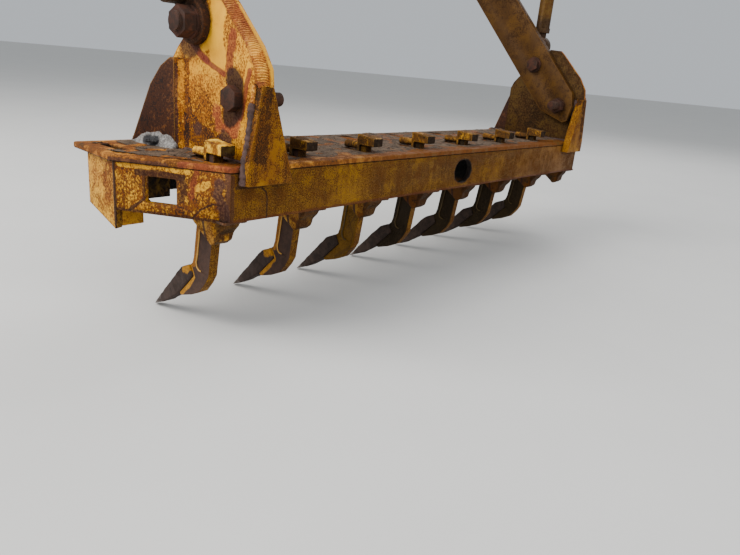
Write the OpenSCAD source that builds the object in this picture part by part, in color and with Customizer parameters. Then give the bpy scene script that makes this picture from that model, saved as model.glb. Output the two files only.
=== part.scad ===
// Mid-mounted scarifier of a motor grader, in millimetres.
// X points to the machine's right, Y forward and Z up.
// The origin is the middle of the shaft on which the two draft arms turn.

/* [Beam] */
// Length of the beam's straight rear face
beam_l = 1470; // [1420:10:1600]
// Depth of the top plate between the brackets
beam_d = 312; // [300:2:330]
// Height of the beam with its top plate
beam_h = 100; // [90:1:120]
// Thickness of the top plate
plate_t = 12; // [8:1:16]
// Thickness of the beam's upright walls
wall_t = 14; // [8:1:16]
// How far the top plate stands out over the end and front walls
rim = 8; // [2:1:14]

/* [Wings] */
// Outward reach of the wing at the corner between its two faces
wing_out = 112; // [100:1:124]
// Distance from the rear face to that corner
wing_y = 186; // [176:1:196]
// Outward reach of the wing's front corner
nose_out = 98; // [92:1:106]
// Distance from the rear face to the top plate's front edge over a wing
plate_front = 342; // [336:1:350]
// Inward place at which that front edge begins to step back
step_out = 10; // [0:1:20]
// Inward place at which the step ends
step_in = 70; // [60:1:90]
// Length of the window in the wing's rear face
window_l = 60; // [40:1:70]
// Height of the window in the wing's rear face
window_h = 48; // [30:1:52]
// Distance of the window's middle from the rear corner
window_at = 129; // [112:1:132]
// How far a wing's outer face reaches below the beam at its rear corner
wing_drop = 36; // [30:1:40]
// How far a wing's outer face reaches below the beam at its front corner
wing_front_drop = 11; // [6:1:16]
// Length of the hole in the top plate over a wing's socket
wing_hole_l = 74; // [58:1:78]
// Width of the slotted hole in the middle of the rear face
eye_w = 76; // [60:1:90]
// Height of the slotted hole in the middle of the rear face
eye_h = 56; // [40:1:58]
// How far that hole stands to the right of the middle
eye_x = 20; // [0:1:40]

/* [Sockets] */
// Number of sockets in the rear row
sockets = 8; // [8:1:8]
// Distance of the end sockets' middles from the ends of the rear face
row_inset = 14; // [10:1:30]
// Thickness of a socket's walls
socket_t = 14; // [10:1:16]
// How far a socket reaches below the beam
lip_h = 52; // [46:1:58]
// Thickness of a socket's side walls at their lower edge
socket_edge_t = 6; // [4:1:9]
// Distance of the slots from the rear face
slot_y = 52; // [48:1:56]
// Inward place of a wing's socket, measured outward from the end of the rear face
wing_slot_out = 66; // [62:1:70]
// Thickness of a wing socket's own front wall
wing_front_t = 3; // [2:1:8]
// Thickness of a wing socket's inner side wall
wing_side_t = 4; // [3:1:10]
// Distance from the wing's corner to the back of its socket
wing_back = 5; // [4:1:20]
// Length of the spare slots in the top plate
spare_l = 62; // [40:1:80]
// Width of the spare slots in the top plate
spare_w = 14; // [10:1:20]
// Distance from the rear face to the spare slots
spare_y = 196; // [180:1:210]
// Place of a spare slot between two sockets, as a share of their spacing
spare_at = 0.68; // [0.4:0.02:0.7]

/* [Shanks] */
// Number of shanks fitted, counted from the left
shanks = 7; // [1:1:7]
// Thickness of a shank
shank_t = 21; // [18:1:26]
// Width of a shank along the direction of travel
shank_w = 51; // [46:1:56]
// Distance from the beam's underside to the knee of a shank
shank_l = 112; // [104:1:124]
// Length of a shank's upright part below the beam's underside
shank_upright = 12; // [12:1:24]
// How far a shank leans forward from there to its knee
shank_lean = 13; // [6:1:16]
// Drop from the knee to the tip's point
point_drop = 121; // [112:1:128]
// Reach of the tip's point in front of the shank's front face
point_reach = 155; // [146:1:162]
// Width of a digging tip
tip_t = 30; // [28:1:40]
// Clearance between a shank and its slot, all round
slot_gap = 0.4; // [0.2:0.1:1]

/* [Locks] */
// Length of a lock block
lock_l = 50; // [46:1:54]
// Width of a lock block
lock_t = 32; // [28:1:40]
// Height of a lock block at its front
lock_h = 38; // [34:1:46]
// Length by which a lock block stands out behind its shank
lock_back = 26; // [20:1:30]
// Slope of a lock block's top, down to the rear, in degrees
lock_a = 6; // [0:1:10]
// Length of the block's foot on the plate
lock_foot = 8; // [4:1:12]
// Height of the shank's neck under the block
neck_h = 14; // [8:1:18]
// Diameter of the lock's round stub
stub_d = 18; // [16:1:26]
// Length of the lock's round stub
stub_l = 45; // [30:1:50]

/* [Brackets] */
// Distance of a bracket plate's outer face from the end of the rear face
bracket_in = 45; // [42:1:60]
// Thickness of a bracket plate
bracket_t = 25; // [20:1:30]
// Thickness of a bracket plate's outer layer
doubler_t = 15; // [10:1:18]
// How far the outer layer's sloping rear edge lies in front of the inner one
doubler_back = 20; // [14:1:22]
// Height of a bracket plate
bracket_h = 282; // [270:1:300]
// Length of a bracket plate's foot
foot_l = 245; // [235:1:255]
// Distance from the rear face to the brace
brace_y = 214; // [210:1:220]
// Length of the brace's foot, forward
brace_run = 106; // [96:1:112]
// Thickness of the brace in front of a bracket
brace_t = 16; // [10:1:20]
// Height of the brace
brace_h = 168; // [150:1:175]
// Outward reach of the brace's front edge from the bracket plate
brace_out = 31; // [20:1:33]
// Thickness of the gusset behind a bracket
gusset_t = 24; // [16:1:30]
// Width of the gusset at its bottom
gusset_w = 106; // [96:2:120]
// Width of the gusset at its top
gusset_top = 26; // [24:1:40]
// Inward place of the middle of the gusset's bottom
gusset_low_x = 72; // [66:1:80]
// Inward place of the middle of the gusset's top
gusset_top_x = 58; // [54:1:62]
// Height of the gusset above the top plate
gusset_h = 136; // [125:1:140]
// How far the gusset reaches down the rear face
gusset_drop = 32; // [20:1:60]
// Thickness of the ear that carries a lift rod
ear_t = 16; // [12:1:20]
// Diameter of the ear round the upper bolt
ear_d = 74; // [70:2:84]

/* [Arms] */
// Distance from the lower bolt to the shaft, along an arm
arm_l = 900; // [800:10:1000]
// Slope of the arms above level, in degrees
arm_a = 48; // [46:0.5:50]
// Width of an arm
arm_w = 118; // [110:1:124]
// Thickness of an arm
arm_t = 25; // [20:1:30]
// Diameter of the round end on which an arm's eye sits
arm_end_d = 134; // [126:2:144]
// How far an arm's blunt point reaches past its lower bolt
arm_point = 58; // [50:1:66]
// Distance between an arm's two bolts
bolt_gap = 162; // [156:1:168]
// Distance from the rear face to the lower bolt
bolt_y = 50; // [46:1:56]
// Height of the lower bolt above the top plate
bolt_z = 110; // [104:1:116]
// Diameter of the lower bolt
bolt_d = 25; // [20:1:28]
// Length of the lower bolt beyond an arm's inner face
bolt_tail = 55; // [30:1:60]
// Diameter of the upper bolt
pin_d = 32; // [28:1:36]
// Length of the upper bolt beyond the ear's outer face
pin_tail = 35; // [32:1:40]
// Clearance round a bolt in its hole
bolt_gap_r = 0.4; // [0.2:0.1:0.8]

/* [Shaft] */
// Diameter of the shaft's middle journal
journal_d = 70; // [64:1:80]
// Length of the shaft's middle journal
journal_l = 320; // [260:10:400]
// Diameter of the shaft between the journal and the arms
shaft_d = 60; // [54:1:63]
// Diameter of the shaft in the arms' eyes
spigot_d = 50; // [44:1:52]
// Outer diameter of an arm's eye
eye_d = 104; // [96:1:116]
// Width of an arm's eye
eye_t = 48; // [40:1:56]
// Thickness of the ring at each end of the shaft
cap_t = 16; // [12:1:20]
// Thickness of the collar inside each arm's eye
collar_t = 14; // [10:1:20]
// Diameter of the rings and collars
collar_d = 84; // [78:2:92]
// Radial clearance of a turning pin in its eye
turn_gap = 0.05; // [0.02:0.01:0.1]
// Side clearance between an eye and its neighbour
side_gap = 1; // [0.5:0.5:2]

/* [Lift rods] */
// Distance between a lift rod's two eyes
rod_l = 620; // [560:10:700]
// Diameter of a lift rod
rod_d = 45; // [38:1:48]
// Length of the threaded stem between the eye's middle and the rod
stem_l = 60; // [50:1:80]
// Height of the nut on the stem
stem_nut = 16; // [12:1:20]
// Diameter of the threaded stem between eye and rod
stem_d = 30; // [24:1:34]
// Width of a lift rod's eye
rod_eye_t = 30; // [26:1:34]
// Outer diameter of a lift rod's eye
rod_eye_d = 66; // [60:1:68]
// Diameter of the pin in the lower eye and of the bore in the upper one
rod_pin_d = 32; // [26:1:34]
// Distance from the rear face to the lift rod's pin
rod_y = 190; // [186:1:196]
// Height of the lift rod's pin above the top plate
rod_z = 292; // [288:1:300]

/* [Hidden] */
$fn = 64;

yellow = [0.74, 0.53, 0.20];
dull_yellow = [0.62, 0.44, 0.18];
rust = [0.42, 0.22, 0.12];
dark_rust = [0.28, 0.15, 0.10];
worn_steel = [0.36, 0.33, 0.31];
over = 1;
left = -1;
right = 1;

// The arm's direction in the side view
along = [cos(arm_a), sin(arm_a)];
// The beam's reference corner in the side view: its rear face and top
beam_yz = -arm_l * along - [bolt_y, bolt_z];
lower_yz = [bolt_y, bolt_z];
upper_yz = lower_yz + bolt_gap * along;
pitch = (beam_l - 2 * row_inset) / (sockets - 1);
slot_t = shank_t + 2 * slot_gap;
slot_w = shank_w + 2 * slot_gap;
socket_w = slot_t + 2 * socket_t;
bottom = -beam_h - lip_h;
wing_bottom = -beam_h - wing_drop;
wall_h = beam_h - plate_t;
front_wall_y = beam_d - rim;
slot_back = slot_y - slot_gap;
wing_slot_y = front_wall_y - wall_t - wing_front_t - slot_w;
arm_in = bracket_in + bracket_t;
flare = atan2(wing_out, wing_y);
// Widths of the bolts' hexagons across their flats, and heights of their heads and nuts
hex_lower = bolt_d * 1.6;
hex_upper = pin_d * 1.5;
head_h = bolt_d * 0.68;
nut_h = bolt_d * 0.84;
big_nut_h = pin_d * 0.75;
button_h = pin_d * 0.38;
washer_t = pin_d * 0.13;
arm_mid = beam_l / 2 - arm_in - arm_t / 2;
rod_mid = beam_l / 2 - bracket_in + ear_t + side_gap + rod_eye_t / 2;

// Lateral place of socket or shank number i, from the left
function row_x(i) = (i - (sockets + 1) / 2) * pitch;

// Moves what is drawn on the beam's own corner to the beam
module on_beam() {
    translate([0, beam_yz[0], beam_yz[1]]) children();
}

// Moves what is drawn inward from the end of the rear face to one side
module on_side(s) {
    on_beam() translate([s * beam_l / 2, 0, 0]) mirror([s > 0 ? 1 : 0, 0, 0]) children();
}

// A plate whose outline is given in the side view, from x = 0 inward
module side_plate(t) {
    rotate([90, 0, 90]) linear_extrude(t) children();
}

// A round bar along X
module bar_x(d, x0, x1) {
    translate([x0, 0, 0]) rotate([0, 90, 0]) cylinder(d = d, h = x1 - x0);
}

// A hexagon across corners along X
module hex_x(across_flats, x0, x1) {
    translate([x0, 0, 0]) rotate([0, 90, 0])
        cylinder(d = across_flats / cos(30), h = x1 - x0, $fn = 6);
}

// The corner at q, inside the wall that runs from p by q to r in plan
function unit(v) = v / norm(v);
function inward(p, q) = [unit(q - p)[1], -unit(q - p)[0]];
function mitre(p, q, r, t) =
    q + t * (inward(p, q) + inward(q, r)) / (1 + inward(p, q) * inward(q, r));

// A slot with square ends, cut downwards through everything at the given depth range
module slot_cut(x, y, l, w, z0, z1) {
    translate([x - w / 2, y, z0]) cube([w, l, z1 - z0]);
}

// The top plate's corners on one side, from the rear face round to the front edge
plate_side = [
    [-beam_l / 2, 0],
    [-beam_l / 2 - wing_out - rim, wing_y],
    [-beam_l / 2 - wing_out - rim, wing_y + 2 * rim],
    [-beam_l / 2 - nose_out - rim, plate_front],
    [-beam_l / 2 + step_out, plate_front],
    [-beam_l / 2 + step_in, beam_d]
];
plate_other_side = [for (i = [len(plate_side) - 1 : -1 : 0]) [-plate_side[i][0], plate_side[i][1]]];

module top_plate() {
    color(rust) on_beam() difference() {
        translate([0, 0, -plate_t]) linear_extrude(plate_t)
            polygon(concat(plate_side, plate_other_side));
        for (i = [1 : sockets])
            slot_cut(row_x(i), slot_back, slot_w, slot_t, -plate_t - over, over);
        for (s = [left, right])
            slot_cut(
                s * (beam_l / 2 + wing_slot_out), wing_slot_y + (slot_w - wing_hole_l) / 2,
                wing_hole_l, slot_t, -plate_t - over, over
            );
        for (i = [2 : sockets - 2])
            slot_cut(row_x(i + spare_at), spare_y, spare_l, spare_w, -plate_t - over, over);
    }
}

module rear_wall() {
    color(dull_yellow) on_beam() difference() {
        translate([-beam_l / 2, 0, -beam_h]) cube([beam_l, wall_t, wall_h]);
        translate([eye_x, -over, -beam_h / 2 - plate_t / 2]) {
            for (s = [left, right])
                translate([s * (eye_w - eye_h) / 2, 0, 0])
                    rotate([-90, 0, 0]) cylinder(d = eye_h, h = wall_t + 2 * over);
            translate([-(eye_w - eye_h) / 2, 0, -eye_h / 2])
                cube([eye_w - eye_h, wall_t + 2 * over, eye_h]);
        }
    }
}

module front_wall() {
    x = beam_l / 2 - step_in;
    color(dull_yellow) on_beam()
        translate([-x, front_wall_y - wall_t, -beam_h]) cube([2 * x, wall_t, wall_h]);
}

// The wing's plan corners, from the rear face round to the front wall
wing_path = [
    [0, 0],
    [-wing_out, wing_y],
    [-nose_out, front_wall_y],
    [step_in, front_wall_y]
];
wing_inside = [
    [wall_t / cos(flare) - wall_t * tan(flare), wall_t],
    for (i = [1 : 2]) mitre(wing_path[i - 1], wing_path[i], wing_path[i + 1], wall_t),
    [step_in, front_wall_y - wall_t]
];

// Height of a wing's lower edge, which rises from its rear corner to its front corner
wing_rise = (wing_drop - wing_front_drop) / (front_wall_y - wing_y);
function wing_underside(y) = wing_bottom + (y - wing_y) * wing_rise;

// The wing's walls: a rear face with its window, an outer face down to the socket, a front wall
module end_wall(s) {
    color(yellow) on_side(s) difference() {
        union() {
            translate([0, 0, -beam_h]) linear_extrude(wall_h) polygon(concat(
                wing_path,
                [for (i = [3 : -1 : 0]) wing_inside[i]],
                [[0, wall_t]]
            ));
            translate([0, 0, wing_bottom]) linear_extrude(wing_drop + over) polygon([
                wing_path[1],
                wing_path[2],
                wing_path[3],
                wing_inside[3],
                wing_inside[2],
                wing_inside[1]
            ]);
        }
        rotate(90 + flare)
            translate([window_at - window_l / 2, -wall_t - over, -plate_t - wall_h / 2 - window_h / 2])
            cube([window_l, wall_t + 2 * over, window_h]);
        translate([-beam_l / 2, wing_y, wing_bottom]) rotate([atan(wing_rise), 0, 0])
            translate([0, -beam_d, -beam_h]) cube([beam_l, 3 * beam_d, beam_h]);
    }
}

// Side view of a rear socket: a hollow lip behind the shank, and an underside that rises forward
function lip(y, z) = [y * slot_back, -beam_h - z * lip_h];
function socket_outline() = [
    [wall_t, -plate_t],
    [wall_t, -beam_h],
    lip(0.38, 0.26),
    lip(0.6, 0.52),
    lip(0.65, 0.79),
    lip(0.83, 0.93),
    lip(1, 1),
    [slot_back + slot_w, lip(0, 0.2)[1]],
    [slot_back + slot_w + socket_t, lip(0, 0.08)[1]],
    [slot_back + slot_w + socket_t, -plate_t]
];
socket_run = slot_back + slot_w + socket_t;

// Rear view of a socket, which narrows below the beam
module socket_front() {
    rotate([90, 0, 0]) linear_extrude(socket_run) polygon([
        [-socket_w / 2, -plate_t],
        [-socket_w / 2, -beam_h],
        [-slot_t / 2 - socket_edge_t, bottom],
        [slot_t / 2 + socket_edge_t, bottom],
        [socket_w / 2, -beam_h],
        [socket_w / 2, -plate_t]
    ]);
}

module socket(i) {
    x = row_x(i);
    color(yellow) on_beam() difference() {
        intersection() {
            translate([x - socket_w / 2, 0, 0]) side_plate(socket_w) polygon(socket_outline());
            translate([x, socket_run, 0]) socket_front();
        }
        slot_cut(x, slot_back, slot_w, slot_t, bottom - over, 0);
        for (s = [left, right])
            translate([s * beam_l / 2, 0, bottom - over]) mirror([s > 0 ? 1 : 0, 0, 0])
                rotate(flare) translate([-beam_l, -beam_d, 0])
                cube([beam_l + wall_t, 4 * beam_d, beam_h + lip_h]);
    }
}

// The empty socket in a wing, inside the wing's walls and level with their lower edge
module wing_socket(s) {
    y0 = wing_y + wing_back;
    run = wing_out - wing_slot_out + slot_t / 2 + wing_side_t;
    color(yellow) on_side(s) difference() {
        intersection() {
            translate([-wing_out, 0, 0]) side_plate(run) polygon([
                [y0, -plate_t],
                [y0, wing_underside(y0)],
                [front_wall_y, wing_underside(front_wall_y)],
                [front_wall_y, -plate_t]
            ]);
            translate([0, 0, wing_bottom]) linear_extrude(beam_h + wing_drop) polygon([
                wing_inside[0],
                wing_inside[1],
                wing_inside[2],
                wing_inside[3]
            ]);
        }
        slot_cut(-wing_slot_out, wing_slot_y, slot_w, slot_t, wing_bottom - over, 0);
    }
}

// Side view of a shank: neck, leaning stem, hollow front, the seat of the tip, horn and heel
function stem_front() = slot_y + shank_w;
function knee_z() = -beam_h - shank_l;
function foot(y, z) = [stem_front() + y * point_reach, knee_z() - z * point_drop];
function stem(y, z) =
    [slot_y + y * shank_w + z * shank_lean, -beam_h - shank_upright - z * (shank_l - shank_upright)];
function lock_toe() = slot_y - lock_back + lock_l;
function shank_outline() = [
    [slot_y, neck_h],
    [lock_toe() - lock_foot, neck_h],
    [lock_toe() - lock_foot, 0],
    [stem_front(), 0],
    stem(1, 0),
    stem(1, 0.78),
    foot(0.095, -0.07),
    foot(0.135, -0.035),
    foot(0.065, 0.14),
    foot(0.37, 0.537),
    foot(0.335, 0.575),
    foot(0.12, 0.485),
    foot(-0.06, 0.37),
    foot(-0.17, 0.2),
    stem(0, 1.06),
    stem(0, 0)
];

module shank(i) {
    color(dull_yellow) on_beam() translate([row_x(i) - shank_t / 2, 0, 0])
        side_plate(shank_t) polygon(shank_outline());
}

// Side view of a tip: a blunt top corner, a long sloping front, a point and a hollow underside
function tip_outline() = [
    foot(0.135, -0.035),
    foot(0.31, 0.07),
    foot(0.81, 0.74),
    foot(1, 1),
    foot(0.7, 0.835),
    foot(0.42, 0.603),
    foot(0.37, 0.537),
    foot(0.065, 0.14)
];

// A tip, which narrows in plan over the front half of its length
module tip(i) {
    blunt = tip_t * 0.3;
    taper_y = stem_front() + 0.46 * point_reach;
    color(dark_rust) on_beam() translate([row_x(i), 0, 0]) intersection() {
        translate([-tip_t / 2, 0, 0]) side_plate(tip_t) polygon(tip_outline());
        translate([0, 0, knee_z() - point_drop - over]) linear_extrude(2 * point_drop) polygon([
            [-tip_t / 2, stem_front()],
            [-tip_t / 2, taper_y],
            [-blunt, stem_front() + point_reach + over],
            [blunt, stem_front() + point_reach + over],
            [tip_t / 2, taper_y],
            [tip_t / 2, stem_front()]
        ]);
    }
}

// The block that locks a shank: it sits on the neck, with a foot and a round stub in front
module lock(i) {
    back = slot_y - lock_back;
    toe = lock_toe();
    color(yellow) on_beam() translate([row_x(i), 0, 0]) {
        translate([-lock_t / 2, 0, 0]) side_plate(lock_t) polygon([
            [back, neck_h],
            [back, lock_h - lock_l * tan(lock_a)],
            [toe, lock_h],
            [toe, 0],
            [toe - lock_foot, 0],
            [toe - lock_foot, neck_h]
        ]);
        translate([0, toe - over, stub_d / 2 + 2]) rotate([-90, 0, 0])
            cylinder(d = stub_d, h = stub_l + over);
    }
}

// Side view of a bracket plate's layer, whose shoulder stands over the gusset
function bracket_at(y, z) = [y * foot_l, z * bracket_h];
function bracket_outline(back) = [
    [0, 0],
    [0, gusset_h],
    [back - gusset_t, gusset_h],
    bracket_at(-0.085, 0.585) + [back, 0],
    bracket_at(0.01, 0.713) + [back, 0],
    bracket_at(0.285, 0.95) + [back, 0],
    bracket_at(0.345, 0.993) + [back, 0],
    bracket_at(0.49, 1),
    bracket_at(0.905, 0.663),
    bracket_at(0.965, 0.6),
    bracket_at(1, 0.532),
    bracket_at(1, 0)
];

module bracket(s) {
    color(yellow) on_side(s) translate([bracket_in, 0, 0]) difference() {
        union() {
            side_plate(doubler_t) polygon(bracket_outline(doubler_back));
            translate([doubler_t, 0, 0]) side_plate(bracket_t - doubler_t) polygon(bracket_outline(0));
        }
        translate([0, lower_yz[0], lower_yz[1]])
            bar_x(bolt_d + 2 * bolt_gap_r, -over, bracket_t + over);
        translate([0, upper_yz[0], upper_yz[1]])
            bar_x(pin_d + 2 * bolt_gap_r, -over, bracket_t + over);
    }
}

// The upright brace, which leans outward to the front and slants down
module brace(s) {
    long = norm([brace_out, brace_run]);
    color(yellow) on_side(s) translate([bracket_in, brace_y, 0])
        rotate(90 + atan2(brace_out, brace_run)) translate([0, brace_t, 0]) rotate([90, 0, 0])
        linear_extrude(brace_t) polygon([
            [0, 0],
            [0, brace_h],
            [0.11 * long, brace_h],
            [0.31 * long, 0.9 * brace_h],
            [0.54 * long, 0.69 * brace_h],
            [long, 0]
        ]);
}

module gusset(s) {
    color(dull_yellow) on_side(s) rotate([90, 0, 0]) linear_extrude(gusset_t) polygon([
        [gusset_low_x - gusset_w / 2, -gusset_drop],
        [gusset_low_x + gusset_w / 2, -gusset_drop],
        [gusset_top_x + gusset_top / 2, gusset_h],
        [gusset_top_x - gusset_top / 2, gusset_h],
        [gusset_low_x - gusset_w / 2, 0]
    ]);
}

// The ear outside a bracket: a link from the upper bolt up to the lift rod's pin
module ear(s) {
    reach = [rod_y, rod_z] - upper_yz;
    web = 0.9 * rod_eye_d;
    color(yellow) on_side(s) translate([bracket_in - ear_t, 0, 0]) side_plate(ear_t) difference() {
        union() {
            translate(upper_yz) circle(d = ear_d);
            translate([rod_y, rod_z]) circle(d = rod_eye_d);
            translate(upper_yz) rotate(atan2(reach[1], reach[0]))
                translate([0, -web / 2]) square([norm(reach), web]);
        }
        translate(upper_yz) circle(d = pin_d + 2 * bolt_gap_r);
        translate([rod_y, rod_z]) circle(d = rod_pin_d + 2 * slot_gap);
    }
}

// A draft arm: a flat bar with a blunt point below, a round end above and a wide eye on it
module arm(s) {
    low = -arm_l;
    color(dull_yellow) translate([s * arm_mid, 0, 0]) difference() {
        union() {
            translate([-arm_t / 2, 0, 0]) side_plate(arm_t) rotate(arm_a) polygon([
                [0, arm_w / 2],
                [0, -arm_w / 2],
                [low + 0.45 * arm_point, -arm_w / 2],
                [low - 0.93 * arm_point, -0.14 * arm_w],
                [low - arm_point, -0.02 * arm_w],
                [low - 0.5 * arm_point, 0.31 * arm_w],
                [low + 0.1 * arm_point, arm_w / 2]
            ]);
            bar_x(arm_end_d, -arm_t / 2, arm_t / 2);
            bar_x(eye_d, -eye_t / 2, eye_t / 2);
        }
        bar_x(spigot_d + 2 * turn_gap, -eye_t, eye_t);
        translate([0, low * along[0], low * along[1]])
            bar_x(bolt_d + 2 * bolt_gap_r, -eye_t, eye_t);
        translate([0, (low + bolt_gap) * along[0], (low + bolt_gap) * along[1]])
            bar_x(pin_d + 2 * bolt_gap_r, -eye_t, eye_t);
    }
}

// A bolt with its head outside the bracket and its nut inside the arm
module lower_bolt(s) {
    out = bracket_in;
    inn = arm_in + arm_t;
    color(dark_rust) on_side(s) translate([0, lower_yz[0], lower_yz[1]]) {
        bar_x(bolt_d, out - over, inn + bolt_tail);
        hex_x(hex_lower, out - head_h, out);
        hex_x(hex_lower, inn, inn + nut_h);
    }
}

// The upper bolt has its nut outside the ear and its head, on a round collar, inside the arm
module upper_bolt(s) {
    out = bracket_in - ear_t;
    inn = arm_in + arm_t;
    color(dark_rust) on_side(s) translate([0, upper_yz[0], upper_yz[1]]) {
        bar_x(pin_d, out - pin_tail, inn + over);
        bar_x(hex_upper * 1.2, out - washer_t, out);
        hex_x(hex_upper, out - washer_t - big_nut_h, out - washer_t);
        bar_x(hex_upper, inn, inn + washer_t);
        hex_x(0.75 * hex_upper, inn, inn + washer_t + button_h);
    }
}

// The lift rod's lower pin, with a head outside and a collar behind the ear
module rod_pin(s) {
    out = bracket_in - ear_t - side_gap - rod_eye_t;
    color(dark_rust) on_side(s) translate([0, rod_y, rod_z]) {
        bar_x(rod_pin_d, out - side_gap - over, bracket_in + button_h + over);
        bar_x(rod_pin_d * 1.5, out - side_gap - button_h, out - side_gap);
        bar_x(rod_pin_d * 1.4, bracket_in, bracket_in + button_h);
    }
}

// A lift rod: lower eye, stem and lock nut, the rod itself and its upper eye
module lift_rod(s) {
    color(yellow) translate([s * rod_mid, beam_yz[0] + rod_y, beam_yz[1] + rod_z]) difference() {
        union() {
            for (z = [0, rod_l]) translate([0, 0, z]) bar_x(rod_eye_d, -rod_eye_t / 2, rod_eye_t / 2);
            cylinder(d = stem_d, h = rod_l);
            translate([0, 0, stem_l]) cylinder(d = rod_d, h = rod_l - 2 * stem_l);
            for (z = [stem_l - stem_nut, rod_l - stem_l])
                translate([0, 0, z]) cylinder(d = rod_d * 1.1, h = stem_nut, $fn = 6);
        }
        for (z = [0, rod_l])
            translate([0, 0, z]) bar_x(rod_pin_d + 2 * turn_gap, -rod_eye_t, rod_eye_t);
    }
}

// The cross shaft on which both arms turn
module pivot_shaft() {
    inner = arm_mid - eye_t / 2 - side_gap;
    outer = arm_mid + eye_t / 2 + side_gap;
    color(worn_steel) {
        bar_x(journal_d, -journal_l / 2, journal_l / 2);
        bar_x(shaft_d, -inner, inner);
        bar_x(spigot_d, -outer - cap_t, outer + cap_t);
        bar_x(collar_d, -inner, -inner + collar_t);
        bar_x(collar_d, inner - collar_t, inner);
    }
}

// The ring that keeps an arm on the shaft
module shaft_cap(s) {
    outer = arm_mid + eye_t / 2 + side_gap;
    color(rust) mirror([s > 0 ? 0 : 1, 0, 0]) difference() {
        bar_x(collar_d, outer, outer + cap_t);
        bar_x(spigot_d, outer - over, outer + cap_t + over);
    }
}

pivot_shaft();
shaft_cap(left);  // shaft_cap_left
shaft_cap(right);  // shaft_cap_right
top_plate();
rear_wall();
front_wall();
end_wall(left);  // end_wall_left
end_wall(right);  // end_wall_right
for (i = [1 : sockets]) socket(i);
wing_socket(left);  // wing_socket_left
wing_socket(right);  // wing_socket_right
for (i = [1 : shanks]) shank(i);
for (i = [1 : shanks]) tip(i);
for (i = [1 : shanks]) lock(i);
bracket(left);  // bracket_left
bracket(right);  // bracket_right
brace(left);  // brace_left
brace(right);  // brace_right
gusset(left);  // gusset_left
gusset(right);  // gusset_right
ear(left);  // ear_left
ear(right);  // ear_right
arm(left);  // arm_left
arm(right);  // arm_right
lower_bolt(left);  // lower_bolt_left
lower_bolt(right);  // lower_bolt_right
upper_bolt(left);  // upper_bolt_left
upper_bolt(right);  // upper_bolt_right
rod_pin(left);  // rod_pin_left
rod_pin(right);  // rod_pin_right
lift_rod(left);  // lift_rod_left
lift_rod(right);  // lift_rod_right
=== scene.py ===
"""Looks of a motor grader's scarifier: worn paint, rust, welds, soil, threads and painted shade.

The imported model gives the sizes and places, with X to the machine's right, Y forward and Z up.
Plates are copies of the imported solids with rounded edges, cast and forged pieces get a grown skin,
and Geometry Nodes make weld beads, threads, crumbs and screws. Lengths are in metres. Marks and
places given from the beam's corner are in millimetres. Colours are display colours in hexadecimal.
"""

import logging
import math
from dataclasses import dataclass
from enum import Enum
from typing import Iterable, Sequence

import bmesh
import bpy
from mathutils import Matrix, Vector, noise
from mathutils.bvhtree import BVHTree


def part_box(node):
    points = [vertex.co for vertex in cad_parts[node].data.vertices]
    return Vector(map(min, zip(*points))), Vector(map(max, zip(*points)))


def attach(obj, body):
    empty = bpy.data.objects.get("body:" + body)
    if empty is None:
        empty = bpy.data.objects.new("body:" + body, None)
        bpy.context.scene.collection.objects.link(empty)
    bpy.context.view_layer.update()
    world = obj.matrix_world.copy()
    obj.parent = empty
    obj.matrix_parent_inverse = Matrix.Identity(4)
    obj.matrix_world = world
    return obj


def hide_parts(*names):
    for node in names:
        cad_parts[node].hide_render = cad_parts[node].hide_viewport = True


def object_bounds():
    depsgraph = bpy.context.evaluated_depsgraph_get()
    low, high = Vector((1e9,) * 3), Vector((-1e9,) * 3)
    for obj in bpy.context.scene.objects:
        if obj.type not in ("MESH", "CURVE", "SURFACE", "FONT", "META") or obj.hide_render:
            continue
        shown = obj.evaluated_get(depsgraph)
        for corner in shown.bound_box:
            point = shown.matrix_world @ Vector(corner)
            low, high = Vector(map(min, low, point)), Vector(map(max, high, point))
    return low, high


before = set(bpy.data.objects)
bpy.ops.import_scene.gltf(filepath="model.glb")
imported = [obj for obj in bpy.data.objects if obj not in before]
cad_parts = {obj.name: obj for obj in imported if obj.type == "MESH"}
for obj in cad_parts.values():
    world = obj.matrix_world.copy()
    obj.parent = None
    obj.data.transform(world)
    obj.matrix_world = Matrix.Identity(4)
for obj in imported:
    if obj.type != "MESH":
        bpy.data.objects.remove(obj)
LOG = logging.getLogger("scarifier")
CAD_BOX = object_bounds()
MM = 0.001
Colour = tuple[float, float, float, float]
Path = Sequence[Vector]
Points = tuple[Sequence[float], ...]
Socket = bpy.types.NodeSocket
Node = bpy.types.Node
NodeTree = bpy.types.NodeTree
Material = bpy.types.Material
Object = bpy.types.Object
Mesh = bpy.types.Mesh
Shape = bmesh.types.BMesh

# Length at each end of the rear wall that holds none of its oval hole
EYE_MARGIN = 0.3
PRIMER = "883c26"
BOLT_SHADOW = "3e261a"
PURPLE_RUST = "52362e"
PINK_RUST = "a84e38"
GOLD = "c48822"
# Near-black painted shade for insides, undersides and faces turned from the light
PAINTED_SHADE = "100d0b"
CRACK = "462a1c"


class Side(Enum):
    """The two sides of the machine, with the sign of X."""

    LEFT = -1
    RIGHT = 1

    @property
    def word(self) -> str:
        """The side's word in node names."""
        return self.name.lower()


BOTH = tuple(Side)


class Body(Enum):
    """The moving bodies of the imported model."""

    SHAFT = "shaft"
    BEAM = "scarifier"
    ROD_LEFT = "rod_left"
    ROD_RIGHT = "rod_right"


def tones(codes: str) -> list[Colour]:
    """Turns hexadecimal display colours into Blender's linear colours.

    Args:
        codes: The colours, six hexadecimal digits each, with spaces between.

    Returns:
        A linear colour for each of them.
    """
    found = []
    for code in codes.split():
        linear = [((c / 255 + 0.055) / 1.055) ** 2.4 if c > 10 else c / 3295 for c in bytes.fromhex(code)]
        found.append((*linear, 1.0))
    return found


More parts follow.
